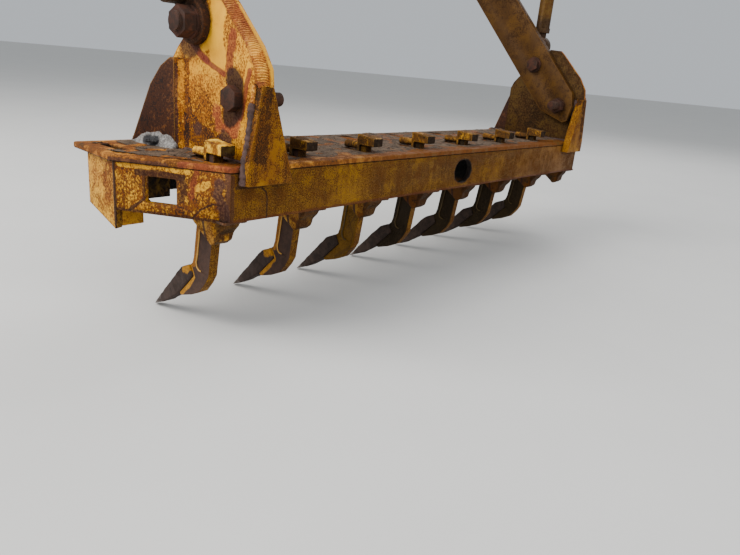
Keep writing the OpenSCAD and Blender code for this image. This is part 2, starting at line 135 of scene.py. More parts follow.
@dataclass(frozen=True)
class Places:
    """Reference places of the beam: the left end of its rear face's top edge, its length and height."""

    corner: Vector
    length: float
    height: float

    @staticmethod
    def measured() -> "Places":
        """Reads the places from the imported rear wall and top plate.

        Returns:
            The places.
        """
        low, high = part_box("rear_wall")
        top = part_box("top_plate")[1].z
        return Places(Vector((low.x, low.y, top)), high.x - low.x, top - low.z)

    def at(self, side: Side, inward: float, forward: float, up: float) -> Vector:
        """A point given from the end of the rear face's top edge, in millimetres.

        Args:
            side: The end that the point is measured from.
            inward: Distance towards the middle.
            forward: Distance in front of the rear face.
            up: Height above the top plate.

        Returns:
            The point in the model's frame, in metres.
        """
        x = -side.value * (inward * MM - self.length / 2)
        return Vector((x, self.corner.y + forward * MM, self.corner.z + up * MM))

    def line(self, side: Side, *points: Sequence[float]) -> list[Vector]:
        """Several such points."""
        return [self.at(side, *point) for point in points]


PLACES = Places.measured()


@dataclass(frozen=True)
class Mark:
    """A patch or band of another colour or wear along a line, in millimetres.

    Points are (inward, forward, up) from the beam's corner, or (forward, up) for a mark that
    lies on every piece of a row. A mark without sides of its own lies on its paint's side.
    """

    points: Points
    reach: float
    colour: str = ""
    cover: float = 0.9
    ragged: float = 0.5
    wear: float = 0.0
    sides: tuple[Side, ...] = ()

    @property
    def side_view(self) -> bool:
        """Tells whether the mark leaves X out."""
        return len(self.points[0]) == 2

    def path(self, side: Side) -> list[Vector]:
        """The mark's line in the model's frame.

        Args:
            side: The side that the points are measured on.

        Returns:
            The points, in metres.
        """
        if isinstance(self.points[0], Vector):
            return list(self.points)
        if self.side_view:
            return [Vector((0, *PLACES.at(side, 0, *point).yz)) for point in self.points]
        return PLACES.line(side, *self.points)


@dataclass(frozen=True)
class Tint:
    """A colour on the faces that look one way, by default near-black painted shade."""

    way: tuple[float, float, float]
    colour: str = PAINTED_SHADE
    cover: float = 1.0
    least: float = 0.5


def join(tree: NodeTree, node: Node, links: dict) -> None:
    """Links or sets a node's inputs.

    Args:
        tree: The tree.
        node: The node.
        links: Input name or number, and the socket or value that goes there.
    """
    for key, value in links.items():
        if isinstance(value, Socket):
            tree.links.new(value, node.inputs[key])
        else:
            node.inputs[key].default_value = value


def add_node(tree: NodeTree, kind: str, links: dict | None = None, **settings: object) -> Node:
    """Adds a node, and sets its properties and its inputs.

    Args:
        tree: The tree.
        kind: Type of the node.
        links: Its inputs, as join takes them.
        settings: Its properties.

    Returns:
        The new node.
    """
    node = tree.nodes.new(kind)
    for key, value in settings.items():
        setattr(node, key, value)
    join(tree, node, links or {})
    return node


class Graph:
    """A material's node graph on Object coordinates, built by short calls."""

    def __init__(self, name: str) -> None:
        """Starts an empty material with one shader.

        Args:
            name: Name of the material.
        """
        self.material = bpy.data.materials.new(name)
        self.material.use_nodes = True
        self.tree = self.material.node_tree
        self.tree.nodes.clear()
        self.shader = self.add("BsdfPrincipled")
        self.add("OutputMaterial", {"Surface": self.shader.outputs[0]})
        self.here = self.add("TexCoord").outputs["Object"]
        self.normal = self.add("NewGeometry").outputs["True Normal"]
        self.wobble: Socket | None = None

    def add(self, kind: str, links: dict | None = None, **settings: object) -> Node:
        """Adds a shader node."""
        return add_node(self.tree, "ShaderNode" + kind, links, **settings)

    def maths(self, way: str, one: object, two: object = 0.0, clamp: bool = False) -> Socket:
        """One step of arithmetic on two values."""
        return self.add("Math", {0: one, 1: two}, operation=way, use_clamp=clamp).outputs[0]

    def total(self, *parts: tuple[object, float]) -> Socket:
        """The weighted sum of several values.

        Args:
            parts: Each value with its weight.

        Returns:
            The sum.
        """
        whole: object = 0.0
        for value, weight in parts:
            whole = self.maths("ADD", whole, self.maths("MULTIPLY", value, weight))
        return whole

    def stretched(self, *scale: float) -> Socket:
        """Object coordinates scaled along each axis."""
        return self.add("Mapping", {"Vector": self.here, "Scale": scale}).outputs[0]

    def grain(
        self, scale: float, detail: float = 4, rough: float = 0.6, at: object = None, twist: float = 0.0
    ) -> Socket:
        """Noise of a given number of lumps per metre.

        Args:
            scale: Lumps per metre.
            detail: Octaves of finer noise.
            rough: Strength of the finer noise.
            at: Coordinates to read, the object's own by default.
            twist: Distortion of the lumps.

        Returns:
            The noise's value, about 0.3 to 0.7.
        """
        inputs = {"Scale": scale, "Detail": detail, "Roughness": rough, "Distortion": twist}
        return self.add("TexNoise", {"Vector": at or self.here, **inputs}).outputs[0]

    def step(self, value: object, low: float, high: float) -> Socket:
        """A smooth step from 0 to 1 between two values."""
        links = {0: value, "From Min": low, "From Max": high}
        return self.add("MapRange", links, interpolation_type="SMOOTHSTEP").outputs[0]

    def blend(self, share: object, one: object, two: object, cover: float = 1.0) -> Socket:
        """Mixes two colours by a share of the cover.

        Args:
            share: Share of the second colour, from 0 to 1.
            one: The first colour.
            two: The second colour.
            cover: Factor on the share.

        Returns:
            The mixed colour.
        """
        if cover < 1.0:
            share = self.maths("MULTIPLY", share, cover)
        return self.add("Mix", {0: share, 6: one, 7: two}, data_type="RGBA").outputs[2]

    def chipped(self, share: object, colour: object, code: str, cover: float, chips: Socket) -> Socket:
        """Lays a colour with darker chips over another.

        Args:
            share: Where it lies, from 0 to 1.
            colour: The colour under it.
            code: The colour laid on.
            cover: How fully it covers.
            chips: Where its darker shade shows.

        Returns:
            The mixed colour.
        """
        laid = tones(code)[0]
        dark = (0.62 * laid[0], 0.58 * laid[1], 0.56 * laid[2], 1.0)
        return self.blend(self.maths("MULTIPLY", share, cover), colour, self.blend(chips, laid, dark))

    def vector(self, way: str, one: object, two: object) -> Node:
        """One step of arithmetic on vectors."""
        return self.add("VectorMath", {0: one, "Scale" if way == "SCALE" else 1: two}, operation=way)

    def stroke(self, mark: Mark, side: Side = Side.LEFT) -> Socket:
        """1 within the reach of a mark's line, falling to 0 past its ragged edge.

        Args:
            mark: The mark, a round patch where it has one point.
            side: The side that it is measured from.

        Returns:
            The share of the mark at the surface's point.
        """
        if self.wobble is None:
            self.wobble = self.grain(70, 4, 0.65)
        here = self.stretched(0, 1, 1) if mark.side_view else self.here
        path, reach = mark.path(side), mark.reach * MM
        nearest: object = 9.0
        for one, two in list(zip(path, path[1:])) or [(path[0], path[0])]:
            away = self.vector("SUBTRACT", here, one).outputs[0]
            run = two - one
            if run.length > 0:
                share = self.vector("DOT_PRODUCT", away, run).outputs["Value"]
                share = self.maths("DIVIDE", share, run.length_squared, clamp=True)
                away = self.vector("SUBTRACT", away, self.vector("SCALE", run, share).outputs[0]).outputs[0]
            nearest = self.maths("MINIMUM", nearest, self.vector("LENGTH", away, (0, 0, 0)).outputs["Value"])
        uneven = self.total((nearest, 1.0), (self.wobble, 2 * mark.ragged * reach))
        middle = reach * (1 + mark.ragged)
        return self.maths("SUBTRACT", 1.0, self.step(uneven, middle - 0.2 * reach, middle + 0.2 * reach))

    def hidden(self, reach: float, **settings: bool) -> Socket:
        """Occlusion within a reach: hollows outside the metal, or edges with inside set."""
        node = self.add("AmbientOcclusion", {"Distance": reach}, samples=6, **settings)
        return self.maths("SUBTRACT", 1.0, node.outputs["AO"])

    def edges(self, reach: float) -> Socket:
        """The piece's own outer edges, from occlusion inside its metal."""
        return self.hidden(reach, inside=True, only_local=True)

    def finish(
        self, colour: object, rough: object, height: object, depth: float, gloss: float = 0.4
    ) -> Material:
        """Wires the shader and returns the material.

        Args:
            colour: Base colour.
            rough: Roughness.
            height: Bump height, from 0 to 1.
            depth: Depth of the bump in metres.
            gloss: Specular level.

        Returns:
            The finished material.
        """
        bump = self.add("Bump", {"Distance": depth, "Height": height}).outputs[0]
        looks = {"Base Color": colour, "Roughness": rough, "Specular IOR Level": gloss, "Normal": bump}
        join(self.tree, self.shader, looks)
        return self.material


@dataclass(frozen=True)
class WornPaint:
    """Machine paint with fine specks of rust breaking through, streaks, worn edges, grime and painted shade.

    The ramp is the paint, its faded tone, stain, rust and deep rust. The drift is a colour that
    the paint takes on between two values of X.
    """

    name: str
    ramp: str
    wear: float = 0.4
    patchy: float = 0.22
    speck: float = 260
    streaks: float = 0.0
    # Share of the dark brown laid in hollows and insides by occlusion: grime, and painted shade
    dirt: float = 0.6
    bare_edge: str = "703e22"
    edge_share: float = 0.5
    tints: tuple[Tint, ...] = ()
    marks: tuple[Mark, ...] = ()
    side: Side = Side.LEFT
    drift: tuple[str, float, float] | None = None
    grooves: str = ""

    def material(self) -> Material:
        """Builds the material's node graph.

        Returns:
            The material.
        """
        g = Graph(self.name)
        paint, faded, stained, rusty, deeper = tones(self.ramp)
        upright = g.stretched(1, 1, 0.8)
        broad = g.grain(6, 3, 0.55, twist=0.4)
        patches = g.grain(38, 5, 0.65, twist=0.5)
        specks = g.grain(self.speck, 3, 0.62, at=upright)
        fine = g.grain(2.3 * self.speck, 2, 0.6, at=upright)
        field = g.total((specks, 0.64 - self.patchy), (fine, 0.16), (patches, self.patchy), (broad, 0.2))
        edge = g.step(g.total((g.edges(0.005), 1.0), (patches, 0.5)), 0.42, 0.62)
        corner = g.step(g.hidden(0.022), 0.25, 0.85)
        laid = [(m, g.stroke(m, side)) for m in self.marks for side in m.sides or (self.side,)]
        wear = g.total((edge, 0.25), (corner, 0.5 * self.dirt), (self.wear, 1.0))
        if self.streaks:
            runs = g.grain(1.0, 4, 0.65, at=g.stretched(150, 150, 9))
            wear = g.total((wear, 1.0), (runs, 3 * self.streaks), (1.0, -1.5 * self.streaks))
        for mark, share in laid:
            if mark.wear:
                wear = g.total((wear, 1.0), (share, mark.wear))
        worn = g.total((field, 1.0), (wear, 0.24), (1.0, -0.12))
        rust = g.step(worn, 0.49, 0.53)
        colour = g.blend(g.step(g.grain(13, 4), 0.4, 0.62), paint, faded)
        if self.drift is not None:
            code, start, end = self.drift
            along = g.add("SeparateXYZ", {0: g.here}).outputs["X"]
            colour = g.blend(g.step(along, start, end), colour, tones(code)[0])
        colour = g.blend(g.step(worn, 0.42, 0.505), colour, stained, 0.7)
        colour = g.blend(rust, colour, g.blend(g.step(patches, 0.45, 0.6), rusty, stained, 0.6))
        colour = g.blend(g.step(worn, 0.56, 0.61), colour, deeper)
        colour = g.blend(edge, colour, tones(self.bare_edge)[0], self.edge_share)
        chips = g.step(specks, 0.4, 0.62)
        for mark, share in laid:
            if mark.colour:
                colour = g.chipped(share, colour, mark.colour, mark.cover, chips)
        # Tints lay a colour, mostly painted shade, on the faces that look one way
        for tint in self.tints:
            least = tint.least
            facing = g.vector("DOT_PRODUCT", g.normal, Vector(tint.way).normalized()).outputs["Value"]
            turned = g.total((facing, 1.0), (patches, 1.0 - least), (1.0, 0.5 * least - 0.5))
            turned = g.step(turned, least, least + 0.2 * (1.0 - least) + 0.1)
            colour = g.chipped(turned, colour, tint.colour, tint.cover, chips)
        if self.grooves:
            low = g.add("Attribute", attribute_name=self.grooves).outputs["Fac"]
            colour = g.blend(low, colour, deeper, 0.9)
        # Dark brown in hollows and insides found by occlusion: grime, and painted shade
        colour = g.blend(g.maths("MULTIPLY", corner, self.dirt), colour, tones("322416")[0])
        rough = g.total((rust, 0.25), (specks, 0.12), (0.52, 1.0))
        height = g.total((rust, -0.35), (patches, 0.5), (specks, 0.5), (fine, 0.3))
        return g.finish(colour, rough, height, 0.0008, gloss=0.15)


@dataclass(frozen=True)
class RustySteel:
    """Steel under a coat of light and dark rust, with pits and a shine where it is rubbed."""

    name: str
    ramp: str
    shine_share: float = 0.2
    rubbed_at: Mark | None = None
    strips: tuple[Mark, ...] = ()
    metal: float = 0.0
    depth: float = 0.0008

    def material(self) -> Material:
        """Builds the material's node graph.

        Returns:
            The material.
        """
        g = Graph(self.name)
        light, dark, shine = tones(self.ramp)
        patches = g.grain(48, 6, 0.7, twist=0.5)
        specks = g.grain(260, 4, 0.7)
        rubbed = g.total((g.edges(0.004), 0.5), (patches, 0.5))
        if self.rubbed_at:
            rubbed = g.total((rubbed, 1.0), (g.stroke(self.rubbed_at), 0.3))
        rubbed = g.step(rubbed, 0.56 - 0.3 * self.shine_share, 0.72 - 0.3 * self.shine_share)
        colour = g.blend(g.step(patches, 0.38, 0.62), dark, light)
        colour = g.blend(specks, colour, dark, 0.5)
        colour = g.blend(rubbed, colour, shine, 0.75)
        for mark in self.strips:
            chips = g.step(g.total((specks, 0.6), (patches, 0.4)), 0.44, 0.56)
            colour = g.chipped(g.stroke(mark), colour, mark.colour, mark.cover, chips)
        g.shader.inputs["Metallic"].default_value = self.metal
        rough = g.total((rubbed, -0.25), (specks, 0.2), (0.68, 1.0))
        return g.finish(colour, rough, g.total((patches, 0.6), (specks, 0.4)), self.depth, gloss=0.25)


@dataclass(frozen=True)
class TurnedSteel:
    """Turned steel of a shaft, with fine rings round X and a film of grease and rust."""

    name: str
    ramp: str = "8e8882 605a56 4a362a"

    def material(self) -> Material:
        """Builds the material's node graph.

        Returns:
            The material.
        """
        g = Graph(self.name)
        steel, shade, grease = tones(self.ramp)
        rings = g.grain(1.0, 3, 0.6, at=g.stretched(900, 6, 6))
        film = g.step(g.grain(16, 5, 0.65, twist=0.5), 0.44, 0.62)
        colour = g.blend(film, g.blend(rings, steel, shade, 0.4), grease)
        g.shader.inputs["Metallic"].default_value = 0.7
        return g.finish(colour, g.total((film, 0.35), (rings, 0.2), (0.25, 1.0)), rings, 0.0002)


@dataclass(frozen=True)
class DrySoil:
    """Dried soil and rust dust, pale and dark, that lies on the plates."""

    name: str
    ramp: str
    scale: float = 60
    marks: tuple[Mark, ...] = ()

    def material(self) -> Material:
        """Builds the material's node graph.

        Returns:
            The material.
        """
        g = Graph(self.name)
        pale, dark = tones(self.ramp)
        lumps = g.grain(self.scale, 6, 0.7, twist=0.3)
        strands = g.grain(1.0, 5, 0.7, at=g.stretched(22, 240, 200))
        specks = g.grain(420, 3, 0.7)
        mixed = g.total((lumps, 0.4), (strands, 0.35), (specks, 0.25))
        colour = g.blend(g.step(mixed, 0.4, 0.6), dark, pale)
        for mark in self.marks:
            colour = g.blend(g.stroke(mark), colour, tones(mark.colour)[0], mark.cover)
        return g.finish(colour, 0.95, g.total((lumps, 0.5), (specks, 0.5)), 0.0014, gloss=0.15)


def round_eye(vertices: Iterable) -> list:
    """The rear wall's vertices round its oval hole, which are the ones away from its ends."""
    low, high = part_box("rear_wall")
    return [v for v in vertices if low.x + EYE_MARGIN < v.co.x < high.x - EYE_MARGIN]


def eye_ring(depth: float) -> tuple[Vector, ...]:
    """A line round the oval hole in the rear wall, at a depth behind its face.

    Args:
        depth: Distance behind the rear face.

    Returns:
        The points, with the first one again at the end.
    """
    hole = [v.co for v in round_eye(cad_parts["rear_wall"].data.vertices)]
    left, right = min(p.x for p in hole), max(p.x for p in hole)
    under, over = min(p.z for p in hole), max(p.z for p in hole)
    middle = Vector(((left + right) / 2, PLACES.corner.y + depth, (under + over) / 2))
    return tuple(
        middle + Vector(((right - left) / 2 * math.cos(t), 0, (over - under) / 2 * math.sin(t)))
        for t in (math.tau * i / 12 for i in range(13))
    )


def bracket_paints(side: Side) -> list[WornPaint]:
    """The paints of one side's bracket and its welds, with primer bands and patches at the bolts, and painted
    shade on the inward-facing face.

    Args:
        side: The bracket's side.

    Returns:
        The paints of the bracket, of the weld beside the brace and of the weld in the step.
    """
    word = side.word

    def face(*points: tuple[float, float]) -> Points:
        """Points on the bracket's outer face, from distances forward and up."""
        return tuple((45, *point) for point in points)

    marks = (
        Mark(face((98, 268), (106, 225), (110, 205), (97, 172)), 21, wear=-0.55, ragged=0.25),
        Mark(face((112, 205), (140, 196)), 12, wear=-0.5, ragged=0.3),
        Mark(face((14, 168), (22, 142), (30, 110)), 6, wear=-0.5, ragged=0.4),
        Mark(face((204, 80), (186, 46), (124, 18), (96, 20)), 25, wear=0.26, ragged=0.9),
        Mark(face((200, 130), (150, 90), (120, 60)), 30, wear=0.12, ragged=0.9),
        Mark(face((178, 199), (148, 176), (132, 169)), 7.5, PRIMER, 0.95, 0.3),
        Mark(face((140, 172), (118, 162), (81, 149)), 5, PRIMER, ragged=0.4),
        Mark(face((58, 216), (64, 186), (66, 158)), 10.5, PRIMER, 0.8, 0.8),
        Mark(face((12, 158), (20, 135), (25, 106), (33, 78)), 5.8, PRIMER, ragged=0.4),
        Mark(face((100, 84), (92, 56)), 12, PINK_RUST, 0.6, 0.9),
        Mark(face((42, 76), (50, 52), (72, 58)), 11, PINK_RUST, 0.75, 0.7),
        Mark(face((56, 142), (46, 130), (48, 92), (64, 78)), 21, BOLT_SHADOW, 0.96, 0.3),
        Mark(face((76, 40), (66, 22), (62, 6)), 14, PURPLE_RUST, 0.85, 0.9),
        Mark(face((160, 44)), 13, PURPLE_RUST, 0.8, 0.8),
        Mark(((34, 206, 0), (36, 205, 60), (33, 207, 150)), 5.5, PURPLE_RUST, 0.85, 1.1),
        Mark(face((156, 244), (176, 214), (186, 200)), 34, BOLT_SHADOW, 0.85, 0.4),
    )
    if side is Side.LEFT:
        marks += (Mark(((62, -22, 142), (62, 2, 201), (62, 62, 262)), 12, wear=-0.4, ragged=0.5),)
    return [
        WornPaint(
            "bracket_paint_" + word, "ecac22 de9a1a b46a16 683a14 362116", wear=0.47,
            patchy=0.26, speck=330, marks=marks, side=side,
            # Painted shade on the bracket's inward-facing face
            tints=(Tint((-side.value, 0, 0), "2a1e0e", 0.92),),
        ),
        WornPaint(
            "fillet_paint_" + word, "e2a022 ce881a a85e16 623614 362116", wear=0.52,
            patchy=0.3, speck=330, edge_share=0.0, dirt=0.1, side=side, marks=(
                Mark(((38, 201, 0), (38, 201, 30)), 30, wear=0.14, ragged=1.6),
                Mark(((31, 209, 0), (31, 209, 150)), 4.5, PURPLE_RUST, 0.7, 1.4),
            ),
        ),
        WornPaint(
            "cap_weld_paint_" + word, "f8ba42 f0a634 c47022 824218 5a2e16", wear=0.33,
            patchy=0.35, speck=420, edge_share=0.1, dirt=0.4, grooves="groove", side=side,
            marks=(Mark(((56, 18, 222), (56, 80, 290)), 21, "924630", 0.6, 0.9),),
        ),
    ]


def support_paints() -> list[WornPaint]:
    """The paints of the gussets, their crowns, the braces and the ears.

    Returns:
        The paints.
    """
    return [
        WornPaint("crown_paint", "f0b246 e29a32 b4641e 6e3a18 462a1a", patchy=0.4,
                  speck=300, dirt=0.5),
        WornPaint("brace_paint", "704216 522e14 4c2812 362016 261a16", wear=0.7, patchy=0.4,
                  bare_edge="b47c32", edge_share=0.8),
        WornPaint(
            "gusset_paint", "9e6e08 845405 703c05 462606 281a09", wear=0.54, streaks=0.22,
            bare_edge="9c6a1a", speck=460, marks=(
                Mark(((58, -8, 128), (52, -10, 70), (40, -12, 20)), 18, wear=0.3, ragged=1.0, sides=BOTH),
                Mark(((78, -12, 40), (72, -12, -10), (44, -12, -34)), 14, wear=-0.35, ragged=1.0, sides=BOTH),
            ),
        ),
        WornPaint("ear_paint", "5c3816 482a14 442612 321f14 261a14", wear=0.7,
                  bare_edge="684020"),
    ]


def wing_paint(side: Side) -> WornPaint:
    """The paint of one side's wing, with the left one's cracks, seams and primer, and painted shade on its
    inner and rear-facing faces.

    Args:
        side: The wing's side.

    Returns:
        The paint.
    """
    out = side.value
    marks = (
        Mark(((-112, 186, -56), (0, 0, -56)), 52, wear=0.2, ragged=0.15),
        Mark(((-106, 176, -17), (-40, 66, -17)), 4.5, wear=-0.35, ragged=1.2),
        Mark(((-112, 186, -12), (-111, 184, -136)), 3, "5c3a24", ragged=0.6),
        Mark(((-112, 186, -99), (0, 0, -99)), 4, CRACK, 0.8, 0.7),
    )
    if side is Side.LEFT:
        marks += (
            Mark(((-30, 50, -44), (-21, 35, -34)), 7, wear=-0.35, ragged=1.3),
            Mark(((-31, 52, -8), (-35, 58, -30), (-37, 62, -58)), 6, PRIMER, 0.55, 1.6),
            Mark(((-10, 16, -30), (-12, 20, -48), (-7, 12, -72), (-5, 8, -99)), 9.5, PURPLE_RUST, 0.85, 1.0),
            Mark(((-3, 5, -14), (-3, 5, -99)), 5, PURPLE_RUST, 0.6, 1.0),
            Mark(((-97, 161, -96), (-88, 146, -82), (-82, 136, -72)), 2.8, CRACK, ragged=0.4),
            Mark(((-36, 60, -98), (-28, 47, -81), (-17, 28, -68), (-8, 13, -69)), 1.8, CRACK, ragged=0.4),
            Mark(((-89, 148, -27), (-66, 110, -25), (-46, 76, -28)), 5.8, CRACK, 0.85, 0.9),
            Mark(((-46, 76, -32), (-44, 73, -50), (-46, 76, -66)), 6, CRACK, 0.75, 1.0),
            Mark(((-83, 137, -28), (-83, 137, -70)), 3.6, CRACK, 0.7, 0.9),
        )
    return WornPaint(
        "wing_paint_" + side.word, "dea424 cc901e 804210 5e3614 382519", wear=0.36,
        patchy=0.26, speck=280, marks=marks, side=side, bare_edge="784c24",
        # Painted shade on the wing's inner faces, and in patches on its rear-facing faces
        tints=(Tint((-out * 0.857, 0.516, 0)), Tint((-out, 0, 0)), Tint((0, -1, 0), least=0.9)),
    )


def beam_paints() -> list[WornPaint]:
    """The paints of the beam's walls, plate and sockets.

    Returns:
        The paints.
    """
    return [
        WornPaint(
            "rear_face_paint", "8c6204 704a04 603604 3e2506 2a1d0a", wear=0.52, streaks=0.12,
            # Tint: painted shade on the wall's forward-facing faces, inside the beam
            speck=460, drift=("825a2a", 0.05, 0.6), bare_edge="643e16", tints=(Tint((0, 1, 0)),),
            marks=(
                Mark(((0, 0, -99), (735, 0, -99), (1470, 0, -99)), 5, "5c2e14", 0.7, 0.8),
                Mark(((84, 0, -100), (84, 0, -62), (81, 0, -50), (72, 0, -42)), 1.6, "301d0e", ragged=0.3),
                Mark(((4, 0, -20), (3, 0, -99)), 5, "4e2e1a", 0.8, 0.9),
                Mark(((14, 0, -36), (74, 0, -36)), 4, "3c240e", 0.8, 0.8),
                Mark(eye_ring(7 * MM), 8.5, "1c1511", 1.0, 0.35),
            ),
        ),
        WornPaint("front_face_paint", "8c600c 764e0a 623608 422808 2e2012", wear=0.5,
                  # Painted shade on the wall's rear-facing faces, inside the beam
                  streaks=0.2, tints=(Tint((0, -1, 0)),)),
        WornPaint(
            "plate_rust", "c4862c a6681e 804610 563214 362618", wear=0.54, patchy=0.45,
            # Painted shade on the plate's underside
            bare_edge="a06c2c", edge_share=0.3, drift=("563e1a", -0.6, -0.15), tints=(Tint((0, 0, -1)),),
            marks=(
                Mark(((-46, 76, -6), (0, 0, -6), (30, 0, -6)), 8, PINK_RUST, 0.38, 1.6),
                Mark(((-118, 186, -9), (-62, 100, -9)), 5, PURPLE_RUST, 0.7, 0.9),
                # Near-black painted shade on the walls of the wing slots
                Mark(((-66, 229, -8), (-66, 295, -8)), 12.5, PAINTED_SHADE, ragged=0.08, sides=BOTH),
            ),
        ),
        WornPaint(
            "socket_paint", "c48e1e 966212 74420e 4c2c0e 322114", wear=0.5, patchy=0.4,
            # Drift: painted shade, darker towards the sockets on the right; tint: painted shade on downward
            # faces
            edge_share=0.2, dirt=0.9, speck=330, bare_edge="78501e", drift=("322612", -0.42, -0.16),
            tints=(Tint((0, 0, -1), "382610", 0.85),), marks=(
                Mark(((66, -104), (63, -150)), 3.5, "3e261c", ragged=0.6),
                Mark(((20, -104), (26, -142)), 12, "3c240e", 0.8, 0.9),
                Mark(((14, 52, -110), (14, 48, -134)), 15, GOLD, 0.85, 1.0),
                Mark(((18, 84, -108), (18, 80, -122)), 10, GOLD, 0.75, 1.0),
                # Near-black painted shade on the sockets' parts inside the beam
                Mark(((14, -40), (300, -40)), 52, PAINTED_SHADE, 1.0, 0.05),
            ),
        ),
        WornPaint(
            "wing_socket_paint", "b68422 a06c18 7c4810 543010 362318", patchy=0.35,
            edge_share=0.3, dirt=0.9, speck=330,
            # Near-black painted shade on the socket's part inside the wing
            marks=(Mark(((190, -40), (310, -40)), 52, PAINTED_SHADE, 1.0, 0.05),),
        ),
    ]


STRIPS = (
    Mark(((98, -96), (101, -130), (104, -155), (108, -182), (113, -205)), 5.5, "a86c1a"),
    Mark(((123, -212), (113, -230), (126, -249), (154, -275)), 5.8, GOLD, ragged=0.7),
)


def shank_paints() -> list[WornPaint]:
    """The paints of the shanks, by how their flanks look, with painted shade on the far shanks' flanks.

    Returns:
        The paints.
    """
    crack = "3c2412"
    cracks = (
        Mark(((66, -150), (92, -186)), 1.6, crack), Mark(((92, -150), (70, -196), (80, -240)), 1.8, crack),
        Mark(((78, -230), (120, -262)), 4, crack, ragged=0.9),
    )
    looks = {
        "near": (STRIPS, ()),
        "bright": (cracks, tuple(Tint((way, 0, 0), "70500a", 0.6) for way in (-1, 1))),
        # The far shanks' flanks get near-black painted shade
        "far": ((), tuple(Tint((way, 0, 0), "1e1a0e", 0.9) for way in (-1, 1))),
    }
    return [
        WornPaint("shank_paint_" + word, "8a600e 704a0a 5c360a 42280c 2c1e10", wear=0.44,
                  streaks=0.2, edge_share=0.2, bare_edge="96681e", speck=420, marks=marks, tints=tints)
        for word, (marks, tints) in looks.items()
    ]


def lock_and_arm_paints() -> list[WornPaint]:
    """The paints of the lock blocks, the draft arms and the lift rods.

    Returns:
        The paints.
    """
    # Painted shade on the lock blocks' rear-facing and downward faces
    lock_painted_shade = (Tint((0, -1, 0), "261b12", 0.95), Tint((0, 0, -1), "241b12"))
    return [
        WornPaint("lock_paint_near", "facc46 ecb42c a06218 4e2e14 2e2114", wear=0.42,
                  patchy=0.55, edge_share=0.2, dirt=1.0, speck=200, tints=lock_painted_shade),
        WornPaint("lock_paint_far", "c48e22 a06e1a 704614 422b12 2c2114", wear=0.62,
                  patchy=0.5, edge_share=0.3, dirt=1.0, speck=200, tints=lock_painted_shade, bare_edge="be8832"),
        # The arm's paint is darkened to its shaded look under the machine: partly its own worn tone, partly
        # painted shade
        WornPaint("arm_paint", "56380c 462c0a 3a2209 2c1b0a 20160e", wear=0.42, patchy=0.35,
                  bare_edge="765022", edge_share=0.6, streaks=0.1, speck=330, marks=(
                      Mark(((95, 50, 110),), 26, BOLT_SHADOW, 0.75, 0.4, sides=BOTH),
                      Mark(((95, 158, 230),), 25, BOLT_SHADOW, 0.75, 0.4, sides=BOTH),
                  )),
        WornPaint("rod_paint", "684a1a 583e16 482e12 683816 3a241a",
                  marks=(Mark(((13, 190, 270), (13, 190, 352)), 40, "3c2a18", 0.85, sides=BOTH),)),
    ]


def steels_and_soils() -> list[object]:
    """The finishes of bare steel, welds, threads and soil.

    Returns:
        The finishes.
    """
    return [
        RustySteel("flank_steel", "50392e 3c2b24 644c3c", 0.1, strips=STRIPS),
        # A gold painted highlight for the shank ridges, and a dark painted-shade copy of it
        RustySteel("ridge_gold", "c48e36 966222 ce9c4c"),
        RustySteel("ridge_dark", "3c3018 241c10 544220"),
        RustySteel("bolt_rust", "4c2a1a 2a1a12 644230", 0.0),
        RustySteel("tip_steel", "46372f 2e241f 827a74", 0.15, Mark(((262, -336),), 42), metal=0.25),
        RustySteel("chipped_tip_steel", "4a3b35 382c27 8a827c", 0.2, Mark(((258, -333),), 42),
                   (Mark(((136, -222), (122, -216)), 8.5, GOLD, ragged=1.6),), 0.25),
        RustySteel("weld_grey", "5e4640 3a2b27 705c56", depth=0.001),
        RustySteel("weld_brown", "543218 322012 684222", depth=0.001),
        RustySteel("seam_rust", "3e2a1e 2c1e16 543a28", 0.0),
        RustySteel("thread_rust", "42291c 281b14 4a3224", 0.0),
        TurnedSteel("journal_steel"),
        DrySoil("plate_soil", "705c4a 2e2620"),
        DrySoil("pale_dust", "a09c98 5c5854", 150,
                (Mark(((9, 250, 10), (3, 274, 10)), 10, "28292c", ragged=0.9),)),
        DrySoil("dark_crumb", "42403e 222224"),
    ]


class Finishes:
    """Every finish of the scarifier, each built once on its first use."""

    def __init__(self) -> None:
        """Lists the finishes by name."""
        kinds = [*support_paints(), *beam_paints(), *shank_paints(), *lock_and_arm_paints()]
        kinds += steels_and_soils()
        for side in Side:
            kinds += [*bracket_paints(side), wing_paint(side)]
        self.kinds: dict[str, object] = {kind.name: kind for kind in kinds}
        self.made: dict[str, Material] = {}

    def get(self, name: str) -> Material:
        """Returns the material of a finish.

        Args:
            name: Name of the finish.

        Returns:
            Its material, the same one each time.
        """
        if name not in self.made:
            self.made[name] = self.kinds[name].material()
        return self.made[name]


FINISHES = Finishes()


def new_object(name: str, data: bpy.types.ID) -> Object:
    """Adds a mesh, camera or light to the scene as an object at the origin.

    Args:
        name: Name of the object.
        data: What it shows.

    Returns:
        The object.
    """
    thing = bpy.data.objects.new(name, data)
    bpy.context.scene.collection.objects.link(thing)
    return thing


def mesh_of(shape: Shape, name: str) -> Mesh:
    """Turns a shape into a mesh and frees it.

    Args:
        shape: The shape, which is gone afterwards.
        name: Name of the mesh.

    Returns:
        The mesh.
    """
    mesh = bpy.data.meshes.new(name)
    shape.to_mesh(mesh)
    shape.free()
    return mesh


def plain_mesh(thing: Object, name: str) -> Object:
    """Replaces an object by the plain mesh of its modifiers' result.

    Args:
        thing: The object with live modifiers, which is removed.
        name: Name of the new object.

    Returns:
        The new object, without modifiers.
    """
    bpy.context.view_layer.update()
    graph = bpy.context.evaluated_depsgraph_get()
    mesh = bpy.data.meshes.new_from_object(thing.evaluated_get(graph), depsgraph=graph)
    mesh.name = name
    bpy.data.objects.remove(thing)
    return new_object(name, mesh)


